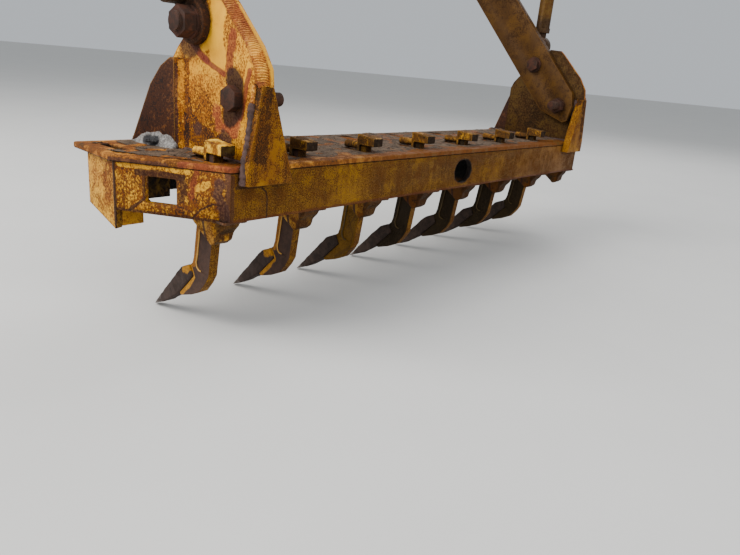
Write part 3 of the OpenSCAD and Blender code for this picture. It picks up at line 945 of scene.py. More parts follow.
def settle(
    thing: Object, finish: str | None, nodes: Iterable[str] = (), body: Body = Body.BEAM
) -> Object:
    """Gives a finished piece its material and body, and reports it.

    Args:
        thing: The piece, in its place.
        finish: Name of its finish, or None where its materials are set already.
        nodes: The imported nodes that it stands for.
        body: The body that it rides on.

    Returns:
        The same piece.
    """
    if finish is not None:
        thing.data.materials.clear()
        thing.data.materials.append(FINISHES.get(finish))
    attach(thing, body.value)
    if nodes:
        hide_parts(*nodes)
    LOG.info("%s: %d faces on %s", thing.name, len(thing.data.polygons), body.value)
    return thing


def welded_copy(node: str) -> Shape:
    """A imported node's solid with its loose triangles joined and its flat faces whole.

    Args:
        node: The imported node.

    Returns:
        The shape, which mesh_of frees later.
    """
    shape = bmesh.new()
    shape.from_mesh(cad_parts[node].data)
    bmesh.ops.remove_doubles(shape, verts=shape.verts, dist=2e-6)
    bmesh.ops.dissolve_limit(shape, angle_limit=math.radians(0.5), verts=shape.verts, edges=shape.edges)
    return shape


def smooth_object(shape: Shape, name: str, angle: float) -> Object:
    """Makes an object of a shape, smooth except at edges sharper than the angle in degrees.

    Args:
        shape: The shape, which is gone afterwards.
        name: Name of the object.
        angle: The sharpest angle that is shaded smooth.

    Returns:
        The object.
    """
    for face in shape.faces:
        face.smooth = True
    mesh = mesh_of(shape, name)
    mesh.set_sharp_from_angle(angle=math.radians(angle))
    return new_object(name, mesh)


def round_edges(thing: Object, edge: float, segments: int = 2, harden: bool = True) -> None:
    """Shades an object smooth and rounds its edges with a live bevel.

    Args:
        thing: The object.
        edge: Width of the bevel.
        segments: Steps across the bevel.
        harden: Keeps flat faces flat.
    """
    for face in thing.data.polygons:
        face.use_smooth = True
    bevel = thing.modifiers.new("round", "BEVEL")
    bevel.width = edge
    bevel.segments = segments
    bevel.limit_method = "ANGLE"
    bevel.angle_limit = math.radians(28)
    bevel.harden_normals = harden


def softened(shape: Shape, name: str, edge: float, segments: int = 2) -> Object:
    """Makes a plain object of a shape, with rounded edges and flat faces shaded flat.

    Args:
        shape: The shape, which is gone afterwards.
        name: Name of the object.
        edge: Width of the rounding.
        segments: Steps across it.

    Returns:
        The object.
    """
    thing = new_object(name + "_raw", mesh_of(shape, name))
    round_edges(thing, edge, segments)
    return plain_mesh(thing, name)


@dataclass(frozen=True)
class Plate:
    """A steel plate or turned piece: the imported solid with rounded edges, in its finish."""

    node: str
    name: str
    finish: str
    slot: str
    edge: float
    segments: int = 2
    body: Body = Body.BEAM

    def build(self) -> Object:
        """Builds and settles the piece."""
        thing = softened(welded_copy(self.node), self.name, self.edge, self.segments)
        return settle(thing, self.finish, [self.node], self.body)


@dataclass(frozen=True)
class Casting:
    """A cast or forged surface: rounded edges under a skin of small faces with shallow lumps."""

    edge: float
    segments: int
    voxel: float
    lump: float
    depth: float

    def build(self, node: str, name: str, seed: float) -> Object:
        """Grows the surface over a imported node's solid.

        Args:
            node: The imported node.
            name: Name of the new object.
            seed: Shift of the lumps, so that equal pieces differ.

        Returns:
            The new object.
        """
        thing = softened(welded_copy(node), node + "_raw", self.edge, self.segments)
        remesh = thing.modifiers.new("skin", "REMESH")
        remesh.mode = "VOXEL"
        remesh.voxel_size = self.voxel
        remesh.use_smooth_shade = True
        relax = thing.modifiers.new("relax", "SMOOTH")
        relax.iterations = 2
        relax.factor = 0.5
        done = plain_mesh(thing, name)
        shift = Vector((seed, seed * 0.7, 0))
        vertices = done.data.vertices
        moved = []
        for vertex in vertices:
            coarse = noise.noise((vertex.co + shift) / self.lump)
            fine = noise.noise((vertex.co + shift) / (self.lump * 0.3))
            moved.append(vertex.co + vertex.normal * self.depth * (coarse + 0.4 * fine - 0.3))
        for vertex, place in zip(vertices, moved):
            vertex.co = place
        done.data.update()
        return done


class Tree:
    """A Geometry Nodes tree with named inputs, built by short calls."""

    def __init__(self, name: str, **inputs: str) -> None:
        """Starts a tree from the name and socket type of each input after the geometry.

        Args:
            name: Name of the tree.
            inputs: The inputs, apart from the geometry and the material.
        """
        self.tree = bpy.data.node_groups.new(name, "GeometryNodeTree")
        new = self.tree.interface.new_socket
        for key, kind in {"Geometry": "Geometry", **inputs, "Material": "Material"}.items():
            new(key, in_out="INPUT", socket_type="NodeSocket" + kind)
        new("Geometry", in_out="OUTPUT", socket_type="NodeSocketGeometry")
        self.given = self.tree.nodes.new("NodeGroupInput").outputs

    def add(self, kind: str, links: dict, **settings: object) -> bpy.types.NodeOutputs:
        """Adds a node, a Geometry node where its kind names no other, and returns its outputs."""
        kind = kind if "Node" in kind else "GeometryNode" + kind
        return add_node(self.tree, kind, links, **settings).outputs

    def maths(self, way: str, *values: object) -> Socket:
        """One step of arithmetic."""
        return self.add("ShaderNodeMath", dict(enumerate(values)), operation=way)[0]

    def end(self, shape: Socket) -> NodeTree:
        """Ends the tree in smooth shading, realized instances and the given material.

        Args:
            shape: The geometry that was built.

        Returns:
            The finished tree.
        """
        smooth = self.add("SetShadeSmooth", {"Geometry": shape})
        real = self.add("RealizeInstances", {"Geometry": smooth[0]})
        dressed = self.add("SetMaterial", {"Geometry": real[0], "Material": self.given["Material"]})
        self.add("NodeGroupOutput", {"Geometry": dressed[0]})
        return self.tree


class Grower:
    """The trees for what repeats or follows a path, and their use."""

    def __init__(self) -> None:
        """Builds the four trees."""
        self.bead = self.bead_tree()
        self.thread = self.thread_tree()
        self.crumbs = self.crumb_tree()
        self.screws = self.screw_tree()

    @staticmethod
    def bead_tree() -> NodeTree:
        """A weld bead along the base mesh's edges, in overlapping scales.

        Returns:
            The tree.
        """
        t = Tree("weld_bead", Radius="Float", Ripple="Float", Wobble="Float", Flow="Float")
        given = t.given
        curve = t.add("MeshToCurve", {"Mesh": given["Geometry"]})
        spacing = t.maths("MULTIPLY", given["Ripple"], 0.25)
        even = t.add("ResampleCurve", {"Curve": curve[0], "Length": spacing}, mode="LENGTH")
        lumps = t.add("ShaderNodeTexNoise", {"Scale": 55.0, "Detail": 3.0})
        middle = t.add("ShaderNodeVectorMath", {0: lumps["Color"], 1: (0.5, 0.5, 0.5)}, operation="SUBTRACT")
        shift = t.add("ShaderNodeVectorMath", {0: middle[0], "Scale": given["Wobble"]}, operation="SCALE")
        wavy = t.add("SetPosition", {"Geometry": even[0], "Offset": shift[0]})
        along = t.add("SplineParameter", {})["Length"]
        scale = t.maths("FRACT", t.maths("DIVIDE", along, given["Ripple"]))
        scale = t.maths("MULTIPLY_ADD", scale, given["Flow"], 0.7)
        scale = t.maths("MULTIPLY_ADD", lumps["Fac"], 0.6, scale)
        ring = t.add("CurvePrimitiveCircle", {"Resolution": 10, "Radius": given["Radius"]})
        tube = {"Curve": wavy[0], "Profile Curve": ring[0], "Scale": scale, "Fill Caps": True}
        return t.end(t.add("CurveToMesh", tube)[0])

    @staticmethod
    def thread_tree() -> NodeTree:
        """A screw thread as a ridge wound round the Z axis, turned and moved into place.

        Returns:
            The tree.
        """
        t = Tree("screw_thread", Radius="Float", Height="Float", Turns="Float", Ridge="Float",
                 Turn="Rotation", Place="Vector")
        given = t.given
        spiral = t.add("CurveSpiral", {
            "Resolution": 24, "Rotations": given["Turns"], "Start Radius": given["Radius"],
            "End Radius": given["Radius"], "Height": given["Height"],
        })
        ridge = t.add("CurvePrimitiveCircle", {"Resolution": 4, "Radius": given["Ridge"]})
        wire = t.add("CurveToMesh", {"Curve": spiral[0], "Profile Curve": ridge[0], "Fill Caps": True})
        placed = {"Geometry": wire[0], "Translation": given["Place"], "Rotation": given["Turn"]}
        return t.end(t.add("Transform", placed)[0])

    @staticmethod
    def crumb_tree() -> NodeTree:
        """Crumbs of soil and scale scattered over the base mesh's faces.

        Returns:
            The tree.
        """
        t = Tree("loose_crumbs", Density="Float", Size="Float", Seed="Int")
        seed = t.given["Seed"]
        points = t.add("DistributePointsOnFaces", {
            "Mesh": t.given["Geometry"], "Density": t.given["Density"], "Seed": seed,
        })
        crumb = t.add("MeshIcoSphere", {"Radius": t.given["Size"], "Subdivisions": 1})
        turn, size = (
            t.add("FunctionNodeRandomValue", {0: low, 1: high, "Seed": seed}, data_type="FLOAT_VECTOR")[0]
            for low, high in (((0, 0, 0), (math.tau,) * 3), ((0.35, 0.35, 0.25), (1.3, 1.0, 0.7)))
        )
        many = {"Points": points[0], "Instance": crumb[0], "Rotation": turn, "Scale": size}
        return t.end(t.add("InstanceOnPoints", many)[0])

    @staticmethod
    def screw_tree() -> NodeTree:
        """Hexagon screw heads at the base mesh's points, lying along X.

        Returns:
            The tree.
        """
        t = Tree("ring_of_screws", Head="Float", Depth="Float")
        head = t.add("MeshCylinder", {"Vertices": 6, "Radius": t.given["Head"], "Depth": t.given["Depth"]})
        many = {"Points": t.given["Geometry"], "Instance": head[0], "Rotation": (0, math.pi / 2, 0)}
        return t.end(t.add("InstanceOnPoints", many)[0])

    @staticmethod
    def grown(tree: NodeTree, base: Mesh, name: str, finish: str, **inputs: object) -> Object:
        """Runs a tree on a base mesh and keeps the plain result.

        Args:
            tree: The tree.
            base: The mesh that it works on.
            name: Name of the result.
            finish: Name of its finish.
            inputs: Values of the tree's named inputs.

        Returns:
            The plain object.
        """
        carrier = new_object(name + "_base", base)
        grow = carrier.modifiers.new("grow", "NODES")
        grow.node_group = tree
        inputs["Material"] = FINISHES.get(finish)
        for socket in tree.interface.items_tree:
            if socket.in_out == "INPUT" and socket.name in inputs:
                grow[socket.identifier] = inputs[socket.name]
        return plain_mesh(carrier, name)

    def weld(
        self, paths: Sequence[Path], name: str, radius: float, finish: str, slot: str = "rusty_steel",
        ripple: float = 0.006, wobble: float = 0.003, flow: float = 0.3,
    ) -> None:
        """Builds weld beads along several paths as one settled piece.

        Args:
            paths: The beads' lines.
            name: Name of the piece.
            radius: Half a bead's width.
            finish: Name of its finish.
            slot: Not used.
            ripple: Length of a scale.
            wobble: How far the bead strays.
            flow: How much each scale swells.
        """
        edges, start = [], 0
        for path in paths:
            edges += [(start + i, start + i + 1) for i in range(len(path) - 1)]
            start += len(path)
        mesh = bpy.data.meshes.new(name)
        mesh.from_pydata([tuple(p) for path in paths for p in path], edges, [])
        thing = self.grown(
            self.bead, mesh, name, finish, Radius=radius, Ripple=ripple, Wobble=wobble, Flow=flow
        )
        settle(thing, None)

    def wind(
        self, name: str, radius: float, height: float, turns: float, ridge: float, tilt: float,
        place: tuple[float, float, float], body: Body = Body.BEAM,
    ) -> None:
        """Builds a screw thread as a settled piece.

        Args:
            name: Name of the piece.
            radius: Radius of the stem.
            height: Length of the thread.
            turns: Its number of turns.
            ridge: Half the ridge's width.
            tilt: Turn about Y, from upright.
            place: Where it starts.
            body: The body that it rides on.
        """
        thing = self.grown(
            self.thread, bpy.data.meshes.new(name), name, "thread_rust", Radius=radius, Height=height,
            Turns=turns, Ridge=ridge, Turn=(0.0, tilt, 0.0), Place=place,
        )
        settle(thing, None, body=body)


def join_rings(shape: Shape, rings: Sequence[Sequence[bmesh.types.BMVert]]) -> None:
    """Closes a skin over rings of points, with a cap at each end.

    Args:
        shape: The shape that holds the points.
        rings: Rings with as many points each.
    """
    count = len(rings[0])
    for one, two in zip(rings, rings[1:]):
        for j in range(count):
            k = (j + 1) % count
            shape.faces.new((one[j], two[j], two[k], one[k]))
    shape.faces.new(rings[0])
    shape.faces.new(rings[-1])
    bmesh.ops.recalc_face_normals(shape, faces=shape.faces)


@dataclass
class Beam:
    """The ripping beam: top plate, walls, wings, soil crust and the welds between them."""

    grower: Grower
    edge: float = 2.2 * MM
    top_edge: float = 3.5 * MM
    window_round: float = 5 * MM
    hole_rough: float = 2.5 * MM
    crust_step: float = 7 * MM
    crust_depth: float = 3.2 * MM
    crust_margin: float = 9 * MM
    bead: float = 1.5 * MM
    heap_foot: Points = ((31, 206, 0), (-2, 318, 0))
    heap_reach: float = 0.015
    heap_height: float = 0.048
    heap_grid: tuple[int, int] = (46, 18)
    sunk: float = 0.8 * MM

    def build(self) -> None:
        """Builds every piece of the beam."""
        Plate("top_plate", "beam_top_plate", "plate_rust", "trodden_plate", self.top_edge, 3).build()
        self.rear_face()
        Plate("front_wall", "beam_front_wall", "front_face_paint", "dull_paint", self.edge).build()
        for side in Side:
            self.wing(side)
        self.heap()
        self.crust()
        for side in Side:
            seam = PLACES.line(side, (-112, 186, -14), (-112, 186, -130))
            self.grower.weld([seam], "wing_weld_" + side.word, self.bead, "seam_rust", wobble=0.001)

    def rear_face(self) -> None:
        """The rear wall, with a burnt edge round its hole."""
        shape = welded_copy("rear_wall")
        hole = round_eye(shape.verts)
        middle = sum((v.co for v in hole), Vector()) / len(hole)
        for vertex in hole:
            out = Vector((vertex.co.x - middle.x, 0, vertex.co.z - middle.z)).normalized()
            turn = math.atan2(out.z, out.x)
            uneven = noise.noise(Vector((2.2 * math.cos(turn), 2.2 * math.sin(turn), 0)))
            vertex.co += out * self.hole_rough * uneven
        thing = softened(shape, "beam_rear_face", self.edge)
        settle(thing, "rear_face_paint", ["rear_wall"])

    def wing(self, side: Side) -> None:
        """A wing's walls, with rounded corners in its window.

        Args:
            side: The wing's side.
        """
        node = "end_wall_" + side.word
        shape = welded_copy(node)
        top, bottom = PLACES.corner.z - 0.017, PLACES.corner.z - PLACES.height + 0.005

        def window_corner(e: bmesh.types.BMEdge) -> bool:
            """Tests for an edge through the wall at a corner of the window."""
            one, two = e.verts[0].co, e.verts[1].co
            return abs(one.z - two.z) < 1e-4 and bottom < one.z < top and (one - two).length < 0.03

        corners = [e for e in shape.edges if len(e.link_faces) == 2 and window_corner(e)]
        bmesh.ops.bevel(
            shape, geom=corners, offset=self.window_round, segments=4, profile=0.5, affect="EDGES"
        )
        thing = softened(shape, "wing_wall_" + side.word, self.edge)
        settle(thing, "wing_paint_" + side.word, [node])

    def crust(self) -> None:
        """A thin crust of trodden soil on the top plate, broken along the plate's edges."""
        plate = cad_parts["top_plate"].data
        points, faces = [v.co.copy() for v in plate.vertices], [tuple(p.vertices) for p in plate.polygons]
        tree = BVHTree.FromPolygons(points, faces)
        low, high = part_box("top_plate")
        columns, rows = (int(span / self.crust_step) for span in (high - low).xy)
        margin = self.crust_margin

        def on_plate(x: float, y: float) -> bool:
            """Tests whether the plate lies under a point."""
            return tree.ray_cast(Vector((x, y, high.z + 0.1)), Vector((0, 0, -1)), 0.105)[0] is not None

        def depth(x: float, y: float) -> float:
            """Thickness of the crust at a point, below 0 where there is none.

            Args:
                x: The point's X.
                y: The point's Y.

            Returns:
                The thickness.
            """
            wide = 2.4 * margin if abs(x) > PLACES.length / 2 else margin
            outward = math.copysign(0.86 * wide, x)
            around = (0, 0), (margin, 0), (-margin, 0), (0, wide), (0, -margin), (outward, -0.5 * wide)
            if not all(on_plate(x + dx, y + dy) for dx, dy in around):
                return -1.0
            rear = min(1.0, (y - low.y - 0.012) / 0.05)
            body = 0.55 + noise.fractal(Vector((x, y, 0)) * 22, 0.9, 2.0, 5) * 0.9
            return self.crust_depth * min(body, 1.3) * rear - 0.0009

        shape = bmesh.new()
        grid = {}
        for i in range(columns + 1):
            for j in range(rows + 1):
                x, y = low.x + i * self.crust_step, low.y + j * self.crust_step
                thick = depth(x, y)
                if thick > -0.9:
                    grid[i, j] = (shape.verts.new((x, y, high.z + max(thick, -self.sunk))), thick)
        for i, j in grid:
            corners = [grid.get(key) for key in ((i, j), (i + 1, j), (i + 1, j + 1), (i, j + 1))]
            if all(corners) and max(c[1] for c in corners) > 0:
                shape.faces.new([c[0] for c in corners])
        bmesh.ops.delete(shape, geom=[v for v in shape.verts if not v.link_faces], context="VERTS")
        thing = smooth_object(shape, "soil_crust", 180)
        crumbs = self.grower.grown(
            self.grower.crumbs, thing.data.copy(), "soil_crumbs", "plate_soil",
            Density=3200.0, Size=0.0022, Seed=7,
        )
        settle(thing, "plate_soil")
        settle(crumbs, None)

    def heap(self) -> None:
        """A drift of pale dust against the outer face of the left brace, with a hollow of dark crumbs."""
        foot, end = PLACES.line(Side.LEFT, *self.heap_foot)
        along = end - foot
        out = Vector((-along.y, along.x, 0)).normalized()
        shape = bmesh.new()
        columns, rows = self.heap_grid
        rings = []
        for i in range(columns + 1):
            u = i / columns
            swell = 0.95 + 0.25 * noise.noise(Vector((5.5 * u, 0, 0)))
            crest = self.heap_height * swell * math.sin(math.pi * min(1.0, 0.04 + 0.96 * u)) ** 0.8
            reach = self.heap_reach * (1.15 - 0.85 * u)
            row = []
            for j in range(rows + 1):
                v = j / rows
                place = foot + along * u + out * (reach * v - 0.003)
                hollow = 0.6 * math.exp(-(((u - 0.5) / 0.16) ** 2) - ((v - 0.5) / 0.25) ** 2)
                lump = 0.004 * noise.fractal(place * 85, 0.9, 2, 5) * (1 - v)
                rise = crest * ((1 - v) ** 1.2 - 0.42 * hollow) + lump
                row.append(shape.verts.new(place + Vector((0, 0, max(rise, -0.0006)))))
            row.append(shape.verts.new(foot + along * u - out * 0.003 - Vector((0, 0, self.sunk))))
            rings.append(row)
        join_rings(shape, rings)
        bed = bmesh.new()
        spot = foot + along * 0.44 + out * (0.42 * 1.25 * self.heap_reach)
        bmesh.ops.create_circle(bed, cap_ends=True, radius=0.013, segments=16)
        for vertex in bed.verts:
            vertex.co += spot + Vector((0, 0, 0.009))
        thing = smooth_object(shape, "dust_heap", 180)
        crumbs = self.grower.grown(
            self.grower.crumbs, mesh_of(bed, "crumb_bed"), "dust_heap_crumbs", "dark_crumb",
            Density=90000.0, Size=0.0042, Seed=3,
        )
        settle(thing, "pale_dust")
        settle(crumbs, None)


@dataclass
class SocketRow:
    """The cast sockets under the beam, with the weld round each mouth."""

    grower: Grower
    casting: Casting = Casting(2 * MM, 2, 1.9 * MM, 0.012, 0.5 * MM)
    bead: float = 2.2 * MM

    def build(self) -> None:
        """Builds the rear row, the two wing sockets and the welds to the beam's underside."""
        names = [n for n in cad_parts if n.startswith(("socket_", "wing_socket_"))]
        for i, node in enumerate(sorted(names)):
            finish = "wing_socket_paint" if node.startswith("wing") else "socket_paint"
            settle(self.casting.build(node, node + "_casting", i * 0.31), finish, [node])
        paths = []
        rear, z = PLACES.corner.y + 0.003, PLACES.corner.z - PLACES.height
        for node in names:
            if node.startswith("socket_"):
                low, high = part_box(node)
                for x in (low.x, high.x):
                    paths.append([Vector((x, rear, z)), Vector((x, high.y, z))])
                paths.append([Vector((low.x, rear, z)), Vector((high.x, rear, z))])
        self.grower.weld(paths, "socket_welds", self.bead, "weld_brown")


@dataclass
class ShankRow:
    """The shanks with their hollow flanks, the worn tips and the lock blocks."""

    grower: Grower
    edge: float = 2.2 * MM
    hollow_slope: float = 0.045
    ridge: float = 1.4 * MM
    ridge_depth: float = 0.5 * MM
    tool_room: float = 4 * MM
    tip: Casting = Casting(2.5 * MM, 3, 2 * MM, 0.016, 1.1 * MM)
    lock: Casting = Casting(2 * MM, 3, 1.5 * MM, 0.009, 1.0 * MM)
    rear_line: Points = ((58, -155), (66, -217))
    foot: Points = ((64, -215), (57, -155), (55, -94))
    ridge_line: Points = (
        (92, -94), (94, -130), (97, -153), (101, -182), (105, -199), (103, -208), (97, -213), (90, -214),
    )

    def build(self) -> None:
        """Builds each shank with its worn tip and battered lock, and the ridges along the hollows."""
        count = sum(n.startswith("shank_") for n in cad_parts)
        for i in range(1, count + 1):
            self.shank(i)
            tip, lock = f"tip_{i}", f"lock_{i}"
            thing = self.tip.build(tip, tip + "_cap", i * 0.47)
            settle(thing, "chipped_tip_steel" if i < 3 else "tip_steel", [tip])
            thing = self.lock.build(lock, lock + "_block", i * 0.83)
            settle(thing, "lock_paint_near" if i == 1 else "lock_paint_far", [lock])
        # Shanks 1 and 2 get ridges with a painted highlight, the rest a darker painted-shade copy
        for finish, numbers in (("ridge_gold", range(1, 3)), ("ridge_dark", range(3, count + 1))):
            line = PLACES.line(Side.LEFT, *((0, *point) for point in self.ridge_line[1:]))
            paths = [
                [Vector((x - way * self.ridge_depth, p.y, p.z)) for p in line]
                for i in numbers for x, way in self.flanks(i)
            ]
            self.grower.weld(
                paths, "shank_" + finish, self.ridge, finish, "dull_paint", wobble=0.0006, flow=0.05
            )

    def flanks(self, i: int) -> tuple[tuple[float, float], ...]:
        """The X of each flank of a shank, with the sign of its outward way."""
        low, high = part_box(f"shank_{i}")
        return ((low.x, -1.0), (high.x, 1.0))

    def shank(self, i: int) -> None:
        """A forged shank, with a hollow down each flank that grows shallow towards the rear.

        Args:
            i: The shank's number, from the left.
        """
        node = f"shank_{i}"
        cutter = bmesh.new()
        start, end = PLACES.line(Side.LEFT, *((0, *point) for point in self.rear_line))
        ahead = Vector((0, start.z - end.z, end.y - start.y)).normalized()
        line = PLACES.line(Side.LEFT, *((0, *point) for point in (*self.ridge_line, *self.foot)))
        for x, way in self.flanks(i):
            floor = [x - way * self.hollow_slope * (p - start).dot(ahead) for p in line]
            join_rings(cutter, [
                [cutter.verts.new((deep, p.y, p.z)) for deep, p in zip(floor, line)],
                [cutter.verts.new((x + way * self.tool_room, p.y, p.z)) for p in line],
            ])
        tool = new_object("hollow_cutter", mesh_of(cutter, "hollow_cutter"))
        kind = "near" if i < 3 else "bright" if i == 3 else "far"
        mesh = mesh_of(welded_copy(node), node)
        for finish in ("shank_paint_" + kind, "flank_steel"):
            mesh.materials.append(FINISHES.get(finish))
        thing = new_object(node + "_raw", mesh)
        round_edges(thing, self.edge, harden=False)
        cut = thing.modifiers.new("hollow", "BOOLEAN")
        cut.object = tool
        cut.operation = "DIFFERENCE"
        cut.solver = "EXACT"
        thing.modifiers.new("even", "WEIGHTED_NORMAL").weight = 100
        done = plain_mesh(thing, node + "_forging")
        bpy.data.objects.remove(tool)
        if kind == "near":
            below = PLACES.corner.z - PLACES.height
            for face in done.data.polygons:
                if abs(face.normal.x) > 0.7 and face.center.z < below + 0.03:
                    face.material_index = 1
        settle(done, None, [node])


@dataclass
class Bracket:
    """One side's bracket plate with its brace, gusset, ear, bolts and welds."""

    grower: Grower
    side: Side
    edge: float = 2 * MM
    bolt_edge: float = 1.2 * MM
    step_back: float = 20
    cap_pitch: float = 0.7 * MM
    cap_ripple: float = 4.6 * MM
    cap_bulge: float = 2.5 * MM
    fillet_top: int = 168
    fillet_pitch: int = 3
    thread_pitch: float = 2.8 * MM
    thread_ridge: float = 0.9 * MM
    thread_end: float = 0.5 * MM
    fillet: Points = ((46, 212), (45.2, 184), (43.6, 192), (40.4, 199), (35.8, 204.5), (30.5, 209.5))
    cap_line: Points = ((104, 280), (90, 268), (22.5, 201), (-0.8, 165), (-4, 139))

    def build(self) -> None:
        """Builds every piece of the bracket."""
        word = self.side.word
        for part, finish, slot in (
            ("bracket", "bracket_paint_" + word, "yellow_paint"),
            ("brace", "brace_paint", "yellow_paint"),
            ("gusset", "gusset_paint", "dull_paint"),
            ("ear", "ear_paint", "yellow_paint"),
            *((part, "bolt_rust", "rusty_steel") for part in ("lower_bolt", "upper_bolt", "rod_pin")),
        ):
            node = f"{part}_{word}"
            edge = self.bolt_edge if "bolt" in part else self.edge
            Plate(node, node + "_steel", finish, slot, edge).build()
        self.welds()
        self.fillet_weld()
        self.cap_weld()
        self.threads()

    def welds(self) -> None:
        """The weld beads round the bracket."""
        for name, radius, finish, lines, more in (
            ("gusset_weld_", 6 * MM, "weld_grey", (
                ((39, -6, 108), (35, -7, 75), (30, -7, 42), (24, -7, 5), (20, -9, -14), (18, -9, -30)),
                ((71, 2, 134), (71, 2, 2)),
            ), {"ripple": 0.013, "wobble": 0.009, "flow": 0.35}),
            ("bracket_foot_welds_", 3 * MM, "weld_grey", (
                ((44, 6, 1), (44, 245, 1)), ((71, 6, 1), (71, 245, 1)), ((45, 246, 1), (70, 246, 1)),
                ((43, 212, 1), (13, 318, 1)), ((58, 218, 1), (28, 324, 1)),
            ), {}),
            ("gusset_crown_weld_", 3.8 * MM, "crown_paint", (
                ((43, -15, 137), (56, -17, 139), (68, -17, 137)), ((44, -11, 140), (69, -12, 140)),
                ((44, -3, 137), (42, -4, 120), (40, -5, 106)),
            ), {"slot": "yellow_paint", "wobble": 0.006, "flow": 0.5}),
        ):
            paths = [PLACES.line(self.side, *line) for line in lines]
            self.grower.weld(paths, name + self.side.word, radius, finish, **more)

    def fillet_weld(self) -> None:
        """The weld that fills the corner between the bracket's face and the brace."""
        shape = bmesh.new()
        rings = []
        for up in range(0, self.fillet_top + 1, self.fillet_pitch):
            ring = []
            for inward, forward in self.fillet:
                place = PLACES.at(self.side, inward, forward, up)
                lump = 0.0012 * noise.noise(place * 90) if inward < 45 else 0.0
                ring.append(shape.verts.new(place + Vector((self.side.value * lump, -lump, 0))))
            rings.append(ring)
        join_rings(shape, rings)
        thing = smooth_object(shape, "brace_fillet_weld_" + self.side.word, 60)
        settle(thing, "fillet_paint_" + self.side.word)

    def cap_weld(self) -> None:
        """The wide rippled weld in the step between the bracket's two layers."""
        rows = 10
        cross_rows = []
        knots = [
            PLACES.line(self.side, (45.2, y, z), (61.5, y - self.step_back, z), (61, y + 2, z))
            for y, z in self.cap_line
        ]
        for one, two in zip(knots, knots[1:]):
            count = max(2, int((two[0] - one[0]).length / self.cap_pitch))
            for i in range(count + (two is knots[-1])):
                cross_rows.append([a.lerp(b, i / count) for a, b in zip(one, two)])
        shape = bmesh.new()
        depth = shape.verts.layers.float.new("groove")
        rings = []
        travelled = 0.0
        for number, (front, rear, root) in enumerate(cross_rows):
            if number:
                travelled += (front - cross_rows[number - 1][0]).length
            out = ((front + rear) / 2 - root).normalized()
            ring = [shape.verts.new(root)]
            for j in range(rows + 1):
                arch = math.sin(math.pi * j / rows)
                place = front.lerp(rear, j / rows)
                lump = noise.noise(place * 160)
                drift = 0.5 * noise.noise(place * 60) + 0.12 * lump
                ripple = 0.5 + 0.5 * math.sin(math.tau * (travelled / self.cap_ripple + 0.8 * arch + drift))
                rise = self.cap_bulge * arch + (0.0014 * ripple + 0.0012 * lump) * min(1.0, 2.5 * arch + 0.2)
                vertex = shape.verts.new(place + out * rise)
                vertex[depth] = (1.0 - ripple) ** 1.5 * min(1.0, max(0.0, 0.8 + noise.noise(place * 50)))
                ring.append(vertex)
            rings.append(ring)
        join_rings(shape, rings)
        thing = smooth_object(shape, "bracket_cap_weld_" + self.side.word, 60)
        settle(thing, "cap_weld_paint_" + self.side.word)

    def threads(self) -> None:
        """The threads on the bolts' free ends."""
        bolts = (("lower_bolt", True, 33 * MM, 12.5 * MM), ("upper_bolt", False, 6.5 * MM, 16 * MM))
        for part, inner, length, radius in bolts:
            node = f"{part}_{self.side.word}"
            low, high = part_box(node)
            middle = (low + high) / 2
            towards_right = (self.side is Side.LEFT) == inner
            start = high.x - length - self.thread_end if towards_right else low.x + self.thread_end
            self.grower.wind(
                node + "_thread", radius, length, length / self.thread_pitch, self.thread_ridge, math.pi / 2,
                (start, middle.y, middle.z),
            )


@dataclass
class Arm:
    """One draft arm, with the weld rings round its eye."""

    grower: Grower
    side: Side
    edge: float = 3 * MM
    ring: float = 52.5 * MM
    half_eye: float = 12.5 * MM
    steps: int = 48

    def build(self) -> None:
        """Builds the arm and its weld rings."""
        word = self.side.word
        node = "arm_" + word
        Plate(node, "draft_arm_" + word, "arm_paint", "dull_paint", self.edge).build()
        low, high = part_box(node)
        middle = (low.x + high.x) / 2
        turns = [math.tau * i / self.steps for i in range(self.steps + 1)]
        rings = [
            [Vector((x, self.ring * math.cos(t), self.ring * math.sin(t))) for t in turns]
            for x in (middle - self.half_eye, middle + self.half_eye)
        ]
        self.grower.weld(rings, "arm_eye_weld_" + word, 4 * MM, "weld_grey")


@dataclass
class LiftRod:
    """One lift rod with its eyes, lock nuts and threaded stems."""

    grower: Grower
    side: Side
    edge: float = 1.6 * MM
    stem: float = 15 * MM
    eye: float = 33 * MM
    thread: float = 10 * MM
    ridge: float = 1.2 * MM

    def build(self) -> None:
        """Builds the rod and its threads."""
        word = self.side.word
        node = "lift_rod_" + word
        body = Body["ROD_" + self.side.name]
        Plate(node, node + "_steel", "rod_paint", "yellow_paint", self.edge, body=body).build()
        low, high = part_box(node)
        middle = (low + high) / 2
        starts = {"lower": low.z + 2 * self.eye - 1 * MM, "upper": high.z - 2 * self.eye - self.thread}
        for name, z in starts.items():
            self.grower.wind(
                f"{name}_stem_thread_{word}", self.stem, self.thread, 3.0, self.ridge, 0.0,
                (middle.x, middle.y, z), body,
            )


